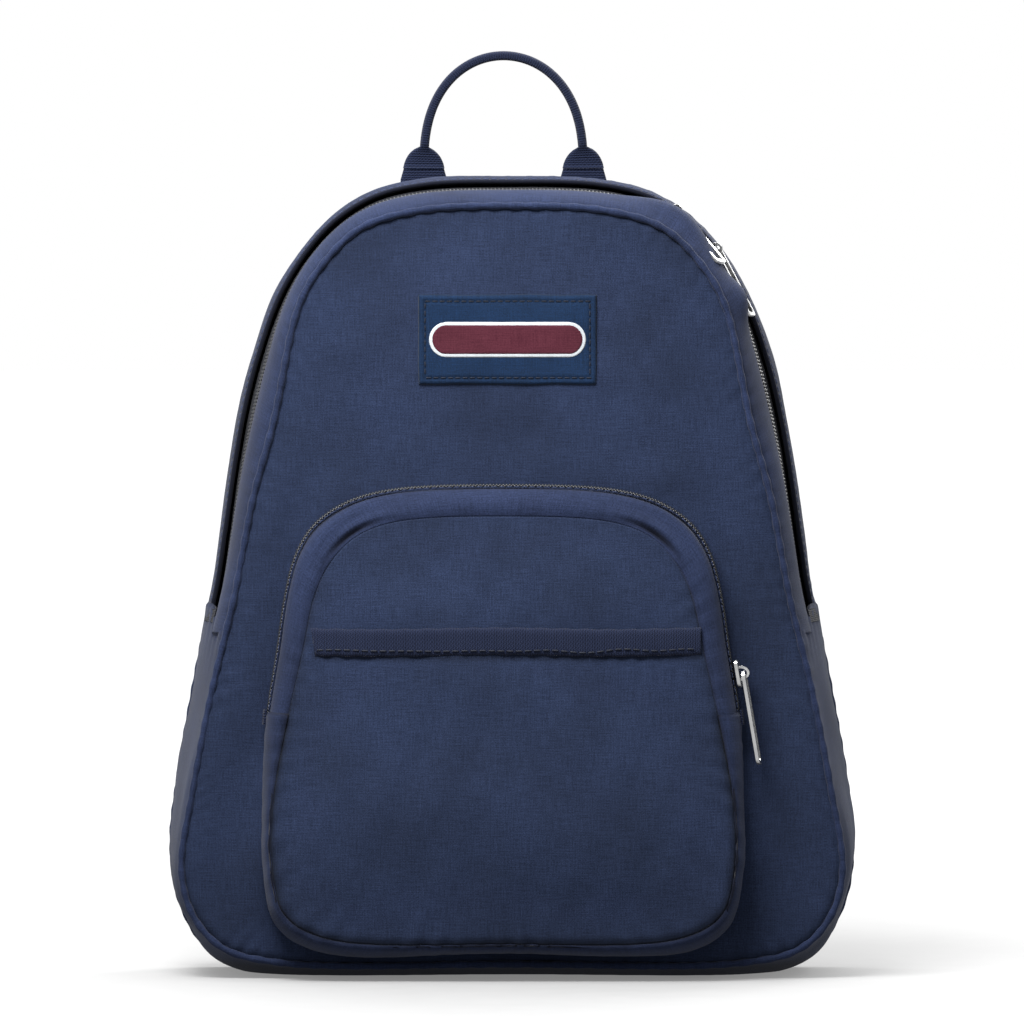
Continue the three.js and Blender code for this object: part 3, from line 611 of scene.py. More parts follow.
def foam_material(name, colour, light):
    """Open-cell foam."""
    n = Nodes(name)
    cells = n.add("ShaderNodeTexVoronoi", {"Vector": n.place(), "Scale": 1400.0}).outputs[0]
    return n.set(Base_Color=n.blend(cells, colour, light), Roughness=0.95,
                 Normal=n.bump(cells, 0.6, 0.0004))


def lining_material(name, colour, light):
    """Coated inner cloth."""
    n = Nodes(name)
    cloud = n.math("MULTIPLY", n.noise(n.place(), 40.0, 3.0), 0.8)
    return n.set(Base_Color=n.blend(cloud, colour, light), Roughness=0.7,
                 Normal=n.bump(n.twill(420.0, 0.6), 0.25, 0.0002))


CANVAS = canvas("navy_canvas", "0e1525", "1f283e", "04060b")
CANVAS_SIDE = canvas("navy_canvas_side", "0e1526", "202840", "05060d")
PATCH_CLOTH = canvas("patch_cloth", "061324", "0f223c", "030811", pitch=0.4)
MAROON = canvas("maroon_embroidery", "2d0d17", "411d26", "1b060a", pitch=0.5)
WHITE_EDGE = canvas("white_embroidery", "84888b", "9b9ea1", "656a6f", pitch=0.5)
WEBBING = webbing("navy_webbing", "080c1b", "141c31")
WEBBING_SOLID = webbing("navy_webbing_solid", "080c1b", "141c31", on_cloth=False)
ZIP_TAPE = webbing("zip_tape", "08090d", "141720", rib=0.7)
ZIP_END = webbing("zip_end_tape", "08090d", "141720", rib=0.7, on_cloth=False)
ZIP_TEETH = smooth_plastic("zip_coil", "07080b", "14161c", 0.45)
PLASTIC = smooth_plastic("black_plastic", "0c0d10", "1a1c20", 0.42)
SILVER = metal("satin_silver", "b5b5b4", "8c8e91", "d1d1d0")
THREAD = thread("navy_thread", "0f1528", "242e49")
DARK_THREAD = thread("dark_thread", "05070d", "0f1422")
FOAM = foam_material("foam", "2c2c30", "4a4a50")
LINING = lining_material("lining", "12151e", "22262f")

# ---- dressing


def dress(ob, material, body=None, slot="navy_canvas", replaces=()):
    """Gives a piece its material, and a body to ride on.

    A piece on a fold has its place baked into its mesh and rides on no body.
    """
    ob.data.materials.clear()
    ob.data.materials.append(material)
    if body in FOLDS:
        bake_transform(ob)
    elif body:
        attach(ob, body)
    if replaces:
        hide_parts(*replaces)
    return ob


# ---- the body's cloth


def square_grid(n, m):
    """Two grids of places from -1 to 1."""
    return np.meshgrid(np.linspace(-1, 1, n), np.linspace(-1, 1, m), indexing="ij")


def disc_grid(count):
    """Directions and shares of a square grid pressed into a disc, ring by ring."""
    a, b = square_grid(count, count)
    wide = np.abs(a) > np.abs(b)
    safe_a = np.where(a == 0, 1e-9, a)
    safe_b = np.where(b == 0, 1e-9, b)
    r = np.where(wide, a, b)
    phi = np.where(wide, math.pi / 4 * (b / safe_a), math.pi / 2 - math.pi / 4 * (a / safe_b))
    phi = np.where(r < 0, phi + math.pi, phi)
    return phi, np.abs(r)


def seam_coordinates(outline, phi, r, inset):
    """For disc-grid points inside an outline: x, z, distance to the seam and place along it."""
    reach = np.interp(phi, outline.angle, outline.radius)
    share = r * (reach - inset) / reach
    x, z = outline.at(phi, share)
    loop = outline.points
    angle = outline.angle[len(loop):2 * len(loop)]
    along = np.interp(np.mod(phi - angle[0], TAU), angle - angle[0], along_length(loop))
    # Slanting rays reach the seam farther out than the seam is away.
    slope = np.gradient(outline.radius, outline.angle)
    tilt = np.interp(phi, outline.angle, slope) / reach
    away = (reach * (1 - share)) / np.sqrt(1 + tilt**2)
    return x, z, away, along


def face_mesh(name, x, y, z, thickness, shade=None):
    """Cloth that faces the front, woven along X and Z."""
    return sheet_mesh(name, np.stack([x, y, z], -1), thickness, np.stack([x, z], -1), shade, flip=True)


def seam_depth(z):
    """The body's front seam, in depth and in painted shade: a line at the top, a ridge at the sides, a
    fold at the bottom.
    """
    return 0.22 + 0.5 * smooth(262, 292, z) + 0.65 * smooth(70, 24, z)


def body_seam(angle):
    """The depth and painted shade of the body's front seam in a direction."""
    return 0.15 + 0.7 * seam_depth(front_seam.at(angle)[1])


def panel_folds(x, z):
    """Broad and small undulations of the front panel."""
    return 0.8 * waves(12, x, z * 0.7, 95) + 0.22 * waves(13, x, z, 26)


def front_panel():
    phi, r = disc_grid(int(300 * DETAIL))
    x, z, away, along = seam_coordinates(front_seam, phi, r, 0.6)
    seam = seam_depth(z)
    lift = pucker(11, along, away, 8.5, 0.5, 7) * (0.4 + 0.6 * seam)
    lift += panel_folds(x, z) * smooth(2, 40, away)
    # Long soft creases that fall from the shoulders towards the pocket's sides.
    flank = smooth(60, 105, np.abs(x)) * smooth(10, 60, z) * smooth(250, 190, z)
    lift += 0.8 * flank * np.sin((np.abs(x) + 0.28 * z) * TAU / 34 + 0.6 * waves(14, x, z, 80))
    lift -= 1.5 * seam * bell(away, 2.2)
    # Painted shade along the seam, stronger where the seam is drawn tightest.
    shade = 1 - 0.85 * seam * np.exp(-away / 1.6) - 0.12 * seam * np.exp(-away / 9)
    ob = face_mesh("front_panel", x, front_y(x, z) - lift, z, CLOTH, shade)
    dress(ob, CANVAS, "front_fold", replaces=("front_panel_lower", "front_panel_upper"))


def band_piece(name, surface, angles, across, depth, relief, material, thickness=CLOTH, **dressing):
    """A strip of cloth on a side: `relief` takes (along, over, angle, t) and gives lift and shade.

    `angles` has one column, or one for each place across the strip where its ends slant.
    """
    t = np.asarray(across)[None, :]
    angle = angles if angles.ndim == 2 else angles[:, None]
    angle, t = np.broadcast_arrays(angle, t)
    plain = on_surface(surface, angle, t, depth)
    along = along_length(plain)[:, [0]] * np.ones_like(t)
    over = along_length(plain.transpose(1, 0, 2)).T
    lift, shade = relief(along, over, angle, t)
    points = plain - inward(surface, angle, t) * lift[..., None]
    points[..., 2] = np.maximum(points[..., 2], 0)
    ob = sheet_mesh(name, points, thickness, np.stack([along, over], -1), shade)
    return dress(ob, material, **dressing)


def strip_relief(seed, near, far, height=0.45, pitch=7.5, puff=0.5, dark=0.7):
    """The lift and painted shade of a strip that puckers at its near edge, its far edge, both or neither.

    `dark` is how deep the seam is and how much painted shade it gets: a number, or a function of the
    direction. A strip that puckers at neither edge has its seam at the far one.
    """
    def relief(along, over, angle, t):
        width = over[:, [-1]]
        far_side = width - over
        if near and far:
            edge = np.minimum(over, far_side)
        else:
            edge = over if near else far_side
        middle = np.clip(4 * over * far_side / width**2, 0, 1)
        seam = dark(angle) if callable(dark) else dark
        lift = puff * middle + 0.3 * waves(seed + 5, along, over, 42) * middle
        if near:
            lift = lift + pucker(seed, along, over, pitch, height, 5)
        if far:
            lift = lift + pucker(seed + 2, along, far_side, pitch, height, 5)
        # The shade is painted shade that darkens the seam.
        return lift - seam * bell(edge, 1.8), 1 - seam * np.exp(-edge / 1.4)
    return relief


def arch_angles(first, last, count):
    """Directions in radians, from a first to a last one in degrees."""
    return np.linspace(math.radians(first), math.radians(last), int(count * DETAIL))


def cover_lift(angle, t):
    """How far the front gusset bellies out in front of the two zip pulls, towards its zip edge."""
    lift = sum(size * bell(np.degrees(angle) - turn, spread) for turn, spread, size in PULL_COVERS)
    return lift * smooth(0.03, FRONT_STRIP_END - 0.04, t)


def slanted_angles(across, count):
    """Directions round the bottom half of the body, whose ends climb from the seam to the back."""
    climb = np.radians(mix(-SIDE_SEAM_SLANT, SIDE_SEAM_SLANT, smooth(0, 0.5, across)))
    half = math.pi / 2 + climb[None, :]
    return 1.5 * math.pi + half * np.linspace(-1, 1, int(count * DETAIL))[:, None]


def gussets():
    first, last = SEAM_SHARES

    def front_relief(along, over, angle, t):
        lift, shade = strip_relief(21, True, False, 0.36, 8.2, 1.5, body_seam)(along, over, angle, t)
        return lift + cover_lift(angle, t), shade

    def rear_relief(along, over, angle, t):
        lift, shade = strip_relief(31, False, True, 0.3, 8.0, 0.6)(along, over, angle, t)
        # Painted shade on the rear gusset, darkest at its edge by the zip recess.
        return lift, np.maximum(shade - 0.9 * np.exp(-over / 3.5), 0)

    def low_relief(along, over, angle, t):
        lift, shade = strip_relief(41, True, True, 0.5, 8.5, 0.0, body_seam)(along, over, angle, t)
        end = np.minimum(along, along[-1:] - along)
        side = smooth(0, 60, end) * smooth(0, 12, over) * smooth(0, 12, over[:, [-1]] - over)
        lift = lift + side * (0.9 * waves(43, along, over, 60))
        # The gusset stands proud of the strips above it, with a turned edge at the side seam.
        lift = lift + 1.3 * np.exp(-end / 14) + pucker(45, over, end, 9, 0.4, 7) - 1.1 * bell(end, 1.0)
        height = on_surface(body_side, angle, t)[..., 2]
        lift = lift * (1 - 0.9 * smooth(14, 2, height))
        # Painted shade at the gusset's ends by the side seams, and painted shadow along its lowest few
        # millimetres by the floor.
        shade = shade - 0.7 * np.exp(-end / 1.3) - 0.5 * smooth(7, 3, height)
        return lift, np.maximum(shade, 0)

    band_piece("front_gusset", body_side, arch_angles(-3.2, 183.2, 620),
               np.linspace(first, FRONT_STRIP_END, 24), 0.0, front_relief, CANVAS_SIDE, body="front_fold",
               replaces=("front_gusset_upper", "front_gusset_left", "front_gusset_right"))
    band_piece("rear_gusset_cloth", body_side, arch_angles(-0.5, 180.5, 620),
               np.linspace(REAR_STRIP_START, last, 24), 0.0, rear_relief, CANVAS_SIDE, body="shell",
               replaces=("rear_gusset",))
    across = np.linspace(first, last, 52)
    band_piece("lower_gusset_cloth", body_side, slanted_angles(across, 460), across, 0.0,
               low_relief, CANVAS_SIDE, body="shell", replaces=("lower_gusset",))


def piping():
    """The cords sewn into the front and back seams, which thicken and thin a little."""
    angle = np.radians(np.linspace(-90, 270, int(720 * DETAIL), endpoint=False))
    shares = np.linspace(0, 1, len(angle))
    cords = (("front_piping_cord", 0.0, "front_fold", ("front_piping_lower", "front_piping_upper")),
             ("back_piping_cord", 1.0, "shell", ("back_piping",)))
    for name, across, body, nodes in cords:
        path = on_surface(body_side, angle, across, 0.1)
        along = along_length(path)
        path[:, 1] += 0.25 * waves(51, along, 0 * along, 30)
        path[:, 2] = np.maximum(path[:, 2], PIPING_LOWEST)
        size = 1 + 0.12 * np.sin(along * TAU / 8.3 + waves(52, along, 0 * along, 40))
        ob = sweep_mesh(name, path, (0, 1, 0),
                        lambda s: round_section(PIPING_RADIUS * np.interp(s, shares, size), 10), True)
        dress(ob, CANVAS_SIDE, body, replaces=nodes)


# ---- zips


def zip_tape(name, surface, angles, span, depth, material, **dressing):
    def flat_relief(along, over, angle, t):
        return 0.12 * waves(61, along, over, 30), np.ones(along.shape)
    band_piece(name, surface, angles, np.linspace(*span, 6), depth, flat_relief, material,
               thickness=0.7, **dressing)


def zip_teeth(name, surface, angles, across, depth, offset, phase, body, pitch=1.5, reach=2.6,
              radius=0.52):
    """One row of coil turns: each bar crosses from its tape to the middle of the zip."""
    fine = np.linspace(angles[0], angles[-1], 4000)
    length = along_length(on_surface(surface, fine, across, depth))
    spots = np.arange(pitch * (0.5 + phase), length[-1], pitch)
    angle = np.interp(spots, length, fine)
    centre = on_surface(surface, angle, across, depth)
    out = -inward(surface, angle, np.full_like(angle, across))
    over = on_surface(surface, angle, across + 0.01, depth) - centre
    over /= np.linalg.norm(over, axis=1, keepdims=True)
    ob = capsules(name, centre + over * offset, over, out, reach, radius)
    dress(ob, ZIP_TEETH, body, "zip_black")


def side_stitches(name, surface, angles, across, depth, body, *sizes):
    """A row of stitches that runs along a side's strip."""
    path = on_surface(surface, angles, across, depth)
    outs = -inward(surface, angles, np.full_like(angles, across))
    dress(stitches(name, path, outs, *sizes), THREAD, body)


def main_zip():
    arch = arch_angles(0.1, 179.9, 520)
    zip_tape("main_tape_front", body_side, arch, FRONT_TAPE, ZIP_DEPTH, ZIP_TAPE, body="front_fold",
             slot="zip_black",
             replaces=("main_stringer_front", "main_stringer_left", "main_stringer_right"))
    zip_tape("main_tape_rear", body_side, arch, REAR_TAPE, ZIP_DEPTH, ZIP_TAPE, body="shell",
             slot="zip_black", replaces=("main_stringer_rear",))
    for name, offset, phase, body in (("front", -0.85, 0.0, "front_fold"), ("rear", 0.85, 0.5, "shell")):
        zip_teeth("main_teeth_" + name, body_side, arch, ZIP_LINE, COIL_SINK, offset, phase, body)
    front, rear = FRONT_STRIP_END - TOPSTITCH_INSET, REAR_STRIP_START + TOPSTITCH_INSET
    side_stitches("main_topstitch_front", body_side, arch, front, -0.15 - cover_lift(arch, front),
                  "front_fold")
    side_stitches("main_topstitch_rear", body_side, arch, rear, -0.15, "shell")


def pocket_zip():
    arch = arch_angles(0.3, 179.7, 460)
    zip_tape("pocket_tape_fixed", pocket_side, arch, POCKET_FIXED_TAPE, 1.0, CANVAS_SIDE, body="shell",
             replaces=("pocket_stringer_fixed",))
    zip_tape("pocket_tape_moving", pocket_side, arch, POCKET_MOVING_TAPE, 1.0, WEBBING,
             body="pocket_flap", slot="webbing", replaces=("pocket_stringer_moving",))
    for name, offset, phase, body in (("fixed", 0.6, 0.0, "shell"), ("moving", -0.6, 0.5, "pocket_flap")):
        zip_teeth("pocket_teeth_" + name, pocket_side, arch, POCKET_ZIP_LINE, -POCKET_COIL_STAND,
                  offset, phase, body, 1.3, 1.8, 0.5)
    side_stitches("pocket_stitch_fixed", pocket_side, arch, 0.955, 0.5, "shell", 3.0, 2.2, 0.22)
    side_stitches("pocket_stitch_moving", pocket_side, arch, 0.72, -0.6, "pocket_flap", 3.0, 2.2, 0.22)


# ---- pocket


def pocket_seam(angle):
    """The pocket's face seam, in depth and in painted shade: deep round the bottom, and soft along the
    top.
    """
    height = pocket_face.at(angle)[1]
    return 0.35 * smooth(176, 145, height) + 0.5 * smooth(112, 98, height)


def near_corner(angle, spread):
    """1 where the band turns the pocket's upper corners, falling to 0 over `spread` degrees."""
    return sum(bell(np.degrees(angle) - turn, spread) for turn in CORNER_TURNS)


def pocket_ripple(angle, away):
    """The puckers of the pocket's face seam, the same on the face as on the strips beside it."""
    return pucker(91, angle * 80, away, 8.0, 0.5, 6.0) * (0.25 + 0.75 * pocket_seam(angle))


def pocket_sides():
    def edged(along, over, angle, t, seed, near_zip):
        lift, shade = strip_relief(seed, False, near_zip, 0.4, 8.0, 0.8, 0.5)(along, over, angle, t)
        seam = pocket_seam(angle)
        lift = lift + pocket_ripple(angle, over) - 1.2 * seam * bell(over, 1.8)
        # Painted shade along the face seam.
        return lift, shade - seam * np.exp(-over / 1.5)

    def band_relief(along, over, angle, t):
        lift, shade = edged(along, over, angle, t, 81, False)
        # A tuck at each upper corner: a groove, with painted shadow in it.
        tuck = near_corner(angle, 7) * bell(over - 2.2, 1.1)
        roll = np.sin(over * TAU / 9 + 0.8 * waves(89, along, over, 50)) * smooth(0, 3, over)
        lift = lift + 0.5 * near_corner(angle, 12) * roll - 2.2 * tuck
        # Painted shade along the band's edge by the zip.
        zip_edge = over[:, [-1]] - over
        return lift, np.maximum(shade - tuck - 0.5 * np.exp(-zip_edge / 0.8), 0)

    def gusset_relief(along, over, angle, t):
        lift, shade = edged(along, over, angle, t, 71, True)
        end = np.minimum(along, along[-1:] - along)
        lift = lift + 0.9 * np.exp(-end / 9) - 0.9 * bell(end, 0.9)
        # Painted shade at the gusset's ends, where it turns under.
        return lift, np.maximum(shade - 0.75 * np.exp(-end / 1.1), 0)

    band_piece("pocket_gusset_cloth", pocket_side, arch_angles(178.6, 361.4, 380),
               np.linspace(0, 0.985, 32), 0.0, gusset_relief, CANVAS_SIDE, thickness=1.0,
               body="shell", replaces=("pocket_gusset",))
    band_piece("pocket_band_cloth", pocket_side, arch_angles(-0.6, 180.6, 460),
               np.linspace(0, 0.765, 24), 0.0, band_relief, CANVAS_SIDE, thickness=0.9,
               body="pocket_fold", replaces=("pocket_band",))


def pocket_folds(x, z):
    """Undulations of the pocket's face, which is drawn in by its webbing and sags below it."""
    belt = bell(z - sum(STRIP_Z) / 2, 9)
    sag = bell(z - 62, 30)
    return 0.7 * waves(92, x, z, 70) + 0.2 * waves(93, x, z, 22) - 1.0 * belt + 2.6 * sag


def pocket_front():
    phi, r = disc_grid(int(230 * DETAIL))
    x, z, away, _ = seam_coordinates(pocket_face, phi, r, 0)
    seam = pocket_seam(phi)
    lift = pocket_ripple(phi, away)
    lift += pocket_folds(x, z) * smooth(2, 28, away)
    lift += 0.35 * pucker(95, x, np.abs(z - STRIP_Z[0]), 9, 1.0, 7) * smooth(2, 10, away)
    lift -= 1.2 * seam * bell(away, 1.8)
    # Painted shade along the face seam, and a little towards the whole edge.
    shade = 1 - seam * np.exp(-away / 1.5) - 0.1 * np.exp(-away / 8)
    # Painted shadow just under the webbing strip's lower edge.
    inside_strip = smooth(STRIP_X[0] - 1, STRIP_X[0] + 1, x) * smooth(STRIP_X[1] + 1, STRIP_X[1] - 1, x)
    shade -= 0.45 * bell(z - STRIP_Z[0] + 0.8, 1.3) * inside_strip
    ob = face_mesh("pocket_front", x, pocket_y(x, z) - lift, z, 1.0, np.maximum(shade, 0))
    dress(ob, CANVAS, "pocket_fold", replaces=("pocket_front_lower", "pocket_front_upper"))


def pocket_belt():
    """The webbing sewn across the pocket, with a wavering row of stitches along its lower edge."""
    left, right = STRIP_X
    low, high = STRIP_Z
    row_height = 1.9
    t = np.linspace(0, 1, 14)[None, :]
    share = np.linspace(0, 1, int(220 * DETAIL))[:, None]
    x = mix(left, right, share) + (0.5 - t) * 1.8 * (1 - share)
    z = mix(low, high, t) + 0.35 * waves(101, x, 0 * x, 60) + 0.15 * np.sin(x * TAU / 9)
    edge = np.minimum(t, 1 - t) * (high - low)
    crown = 0.9 * (1 - np.exp(-edge / 0.8)) + 0.15 * waves(102, x, z, 16)
    # Painted shade at the strip's edges and along its stitch row; the webbing material does not read it.
    shade = 1 - 0.5 * np.exp(-edge / 0.5) - 0.5 * bell(z - low - row_height, 0.6)
    ob = face_mesh("pocket_webbing", x, pocket_y(x, z) - 0.35 - crown, z, 1.1, shade)
    dress(ob, WEBBING, "pocket_flap", "webbing", ("pocket_webbing_strip",))
    sx = np.linspace(left + 1, right - 1, 400)
    sz = low + row_height + 0.45 * waves(103, sx, 0 * sx, 24)
    path = np.stack([sx, pocket_y(sx, sz) - 1.3, sz], -1)
    row = stitches("pocket_webbing_stitches", path, (0, -1, 0), 3.6, 2.7, 0.36)
    dress(row, DARK_THREAD, "pocket_flap")


# ---- label patch


def patch_y(x, z):
    """The patch's face, which follows the panel's folds."""
    return front_y(x, z) - 1.5 - panel_folds(x, z) - 0.15 * waves(113, x, z, 30)


def label_bar(name, half, tall, lift, material):
    """A plain embroidered bar with rounded ends."""
    a, b = square_grid(160, 32)
    reach = half - tall + tall * np.sqrt(1 - (0.999 * b) ** 2)
    x, z = PATCH_X + a * reach, PATCH_Z + b * tall
    fall = np.minimum((1 - np.abs(a)) * reach, (1 - np.abs(b)) * tall)
    rounded = lift * (1 - 0.6 * np.exp(-fall / 0.4))
    ob = face_mesh(name, x, patch_y(x, z) - rounded, z, 0.5)
    dress(ob, material, "front_flap", "patch_cloth")


def label_patch():
    hx, hz = PATCH_HALF
    a, b = square_grid(int(160 * DETAIL), int(90 * DETAIL))
    x = PATCH_X + a * hx + 0.25 * waves(111, b * hz, 0 * b, 20) * a
    z = PATCH_Z + b * hz + 0.25 * waves(112, a * hx, 0 * a, 24) * b
    edge = np.minimum((1 - np.abs(a)) * hx, (1 - np.abs(b)) * hz)
    row = bell(edge - PATCH_STITCH_INSET, 0.7)
    y = patch_y(x, z) + 1.1 * np.exp(-edge / 0.5) + 0.35 * row
    # Painted shade on the patch's sunken edge and along the groove of its stitch row.
    ob = face_mesh("label_patch_cloth", x, y, z, 1.0, 1 - 0.5 * np.exp(-edge / 0.5) - 0.35 * row)
    dress(ob, PATCH_CLOTH, "front_flap", "patch_cloth", ("label_patch",))
    w, h = hx - PATCH_STITCH_INSET, hz - PATCH_STITCH_INSET
    corners = [(-w, -h), (w, -h), (w, h), (-w, h), (-w, -h)]
    line = np.concatenate([np.linspace(p, q, 40) for p, q in zip(corners, corners[1:])])
    sx, sz = PATCH_X + line[:, 0], PATCH_Z + line[:, 1]
    path = np.stack([sx, patch_y(sx, sz) + 0.25, sz], -1)
    dress(stitches("label_stitches", path, (0, -1, 0), 2.9, 2.1, 0.26), DARK_THREAD, "front_flap")
    label_bar("label_bar_edge", 31.2, 7.0, 0.3, WHITE_EDGE)
    label_bar("label_bar", 30.0, 5.8, 0.6, MAROON)


# ---- metal and plastic


def node_copy(node, ending, material, slot, bevel):
    """A CAD node with rounded edges, as a piece of its own. Its body has the node's name."""
    ob = bpy.data.objects.new(node + ending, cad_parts[node].data.copy())
    bpy.context.scene.collection.objects.link(ob)
    weld = ob.modifiers.new("weld", "WELD")
    weld.merge_threshold = 1e-5
    cut = ob.modifiers.new("bevel", "BEVEL")
    cut.width = bevel * MM
    cut.segments = 3
    cut.limit_method = "ANGLE"
    cut.angle_limit = math.radians(35)
    for polygon in ob.data.polygons:
        polygon.use_smooth = True
    ob.modifiers.new("normals", "WEIGHTED_NORMAL")
    dress(ob, material, node, slot, (node,))


def hardware():
    for kind, bevel in (("slider", 0.35), ("pull", 0.55)):
        for name in ("main_%s_upper", "main_%s_lower", "pocket_%s"):
            node_copy(name % kind, "_metal", SILVER, "silver_metal", bevel)
    for side in ("left", "right"):
        node_copy("ladder_lock_" + side, "_frame", PLASTIC, "black_plastic", 0.5)


# ---- haul loop


def haul_loop():
    """A loop of webbing that flares into its two bases, and bends where it leaves them."""
    turn = np.linspace(0, math.pi, int(150 * DETAIL))
    x = LOOP_X - LOOP_HALF_SPAN * np.cos(turn)
    z = LOOP_Z + LOOP_CREST * np.sin(turn) ** 0.8
    path = np.stack([x, np.full_like(x, LOOP_Y), z], -1)
    length = along_length(path)[-1]

    def section(share):
        end = min(share, 1 - share) * length
        flare = math.sqrt(max(0.0, 1 - ((end + 4.5) / 9.6) ** 2))
        return band_section(mix(9.4, 3.6, flare), max(3.7, 19 * flare), 24, 0.45)

    ob = sweep_mesh("haul_loop_webbing", path, (0, 1, 0), section)
    dress(ob, WEBBING, slot="webbing", replaces=("haul_loop",))
    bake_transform(ob)
    for side, word in ((-1, "left"), (1, "right")):
        x = LOOP_X + side * LOOP_HALF_SPAN
        path = np.stack([np.full(48, x), np.full(48, LOOP_Y), np.linspace(LOOP_BASE_Z, LOOP_Z, 48)], -1)
        base = sweep_mesh("haul_base_webbing_" + word, path, (1, 0, 0),
                          lambda s: band_section(18.8 - 2.6 * max(0, s - 0.87) / 0.13, 3.2, 20))
        dress(base, WEBBING, "shell", "webbing", ("haul_base_" + word,))


# ---- back and straps


def places(ob):
    """An object's vertex places in millimetres."""
    flat = np.zeros(len(ob.data.vertices) * 3, np.float32)
    ob.data.vertices.foreach_get("co", flat)
    return flat.reshape(-1, 3).astype(float) / MM


def padded_out(ob, sewn, pressure, cap):
    """Where the vertices go in a cloth simulation under pressure, none of them further than `cap`.

    The vertices marked `sewn` stay where they are.
    """
    start = places(ob)
    group = ob.vertex_groups.new(name="sewn")
    group.add([int(i) for i in np.flatnonzero(sewn)], 1.0, "REPLACE")
    cloth = ob.modifiers.new("cloth", "CLOTH")
    cloth.settings.quality = 5
    cloth.settings.vertex_group_mass = "sewn"
    cloth.settings.use_pressure = True
    cloth.settings.uniform_pressure_force = pressure
    cloth.settings.effector_weights.gravity = 0
    scene = bpy.context.scene
    for step in range(1, CLOTH_STEPS + 1):
        scene.frame_set(step)
    end = places(ob.evaluated_get(bpy.context.evaluated_depsgraph_get()))
    ob.modifiers.remove(cloth)
    ob.vertex_groups.remove(group)
    scene.frame_set(1)
    move = end - start
    size = np.linalg.norm(move, axis=1, keepdims=True)
    return start + move * np.minimum(1, cap / np.maximum(size, 1e-9))


def subdivided(ob):
    smoother = ob.modifiers.new("smooth", "SUBSURF")
    smoother.levels = smoother.render_levels = 1


def back_panel():
    """The padded back: cloth sewn round its edge and along its quilting lines, and filled out."""
    phi, r = disc_grid(int(110 * DETAIL))
    edge = body_side(phi, np.ones_like(phi))
    rim = np.hypot(edge[..., 0], edge[..., 2] - SEAM_Z) - 1.2
    x = r * rim * np.cos(phi)
    z = SEAM_Z + r * rim * np.sin(phi)
    away = rim * (1 - r)
    foot = smooth(12, 5, z)
    under_straps = smooth(252, 282, z)
    lift = 2.2 * smooth(0, 20, away) + 0.5 * waves(121, x, z, 60) * smooth(0, 30, away)
    lift += pucker(122, phi * 130, away, 8.5, 0.45, 6)
    lift *= (1 - 0.85 * foot) * (1 - under_straps)
    quilting = np.minimum(np.abs(np.abs(x) - QUILT_X), np.abs(z - QUILT_Z))
    lift -= 1.6 * bell(quilting, 3.2) * smooth(0, 20, away) * (1 - under_straps)
    points = np.stack([x, BACK_Y + 0.2 + lift, z], -1)
    plain = mesh_object("back_panel_pattern", points, [grid_faces(*phi.shape)])
    sewn = (away < 5) | (quilting < 2) | (z < 14) | (z > 262)
    points = padded_out(plain, sewn.ravel(), -PAD_PRESSURE, BACK_CAP).reshape(points.shape)
    bpy.data.objects.remove(plain)
    points[..., 1] = np.maximum(points[..., 1], BACK_Y)
    # Painted shade along the edge seam and in the quilting grooves.
    shade = 1 - 0.8 * np.exp(-away / 1.6) - 0.35 * bell(quilting, 1.3) * smooth(0, 12, away)
    ob = sheet_mesh("back_panel", points, 1.5, np.stack([x, z], -1), np.maximum(shade, 0))
    subdivided(ob)
    dress(ob, CANVAS, "shell", replaces=("back_panel_cover",))


def strap_width(share):
    """The strap pad's width from its top to its end loop."""
    return mix(34, 45, math.sin(math.pi * min(share + 0.06, 0.5))) - 16 * float(smooth(0.7, 1.0, share))


def hermite(knots, values, at):
    """A smooth curve through values at evenly spaced knots."""
    slope = np.gradient(values, knots)
    i = np.clip(np.searchsorted(knots, at, side="right") - 1, 0, len(knots) - 2)
    h = knots[i + 1] - knots[i]
    t = (at - knots[i]) / h
    return hermite_step(values[i], values[i + 1], h * slope[i], h * slope[i + 1], t)


def strap_pad(word, side):
    points = STRAP_LINE * (side, 1, 1)
    knots = np.linspace(0, 1, len(points))
    share = np.linspace(0, 1, int(90 * DETAIL))
    path = np.stack([hermite(knots, points[:, k], share) for k in range(3)], -1)
    sides = 28

    def section(s):
        ends = min(1.0, min(s, 1 - s) / 0.06 + 0.15)
        ripple = 1 + 0.03 * math.sin(s * 61) + 0.02 * math.sin(s * 97 + 1)
        return band_section(strap_width(s) - 1, mix(2.6, 7.5, ends) * ripple, sides, 0.42)

    ob = sweep_mesh("strap_pad_%s_cover" % word, path, (1, 0, 0), section)
    half = np.array([strap_width(s) / 2 for s in share])
    sewn = np.abs(places(ob)[:, 0] - np.repeat(path[:, 0], sides)) > np.repeat(half, sides) - 2.5
    sewn[:2 * sides] = True
    sewn[-2 * sides:] = True
    filled = padded_out(ob, sewn, PAD_PRESSURE, STRAP_CAP)
    ob.data.vertices.foreach_set("co", (filled * MM).astype(np.float32).ravel())
    subdivided(ob)
    dress(ob, CANVAS, "strap_" + word, replaces=("strap_pad_" + word,))
    edges = []
    for edge in (-1, 1):
        rail = path.copy()
        rail[:, 0] += edge * (half - 0.4)
        edges.append(sweep_mesh("edge", rail[2:-2], (1, 0, 0), lambda s: round_section(1.7, 10, 1.5)))
    dress(joined("strap_binding_" + word, edges), WEBBING, "strap_" + word, "webbing")


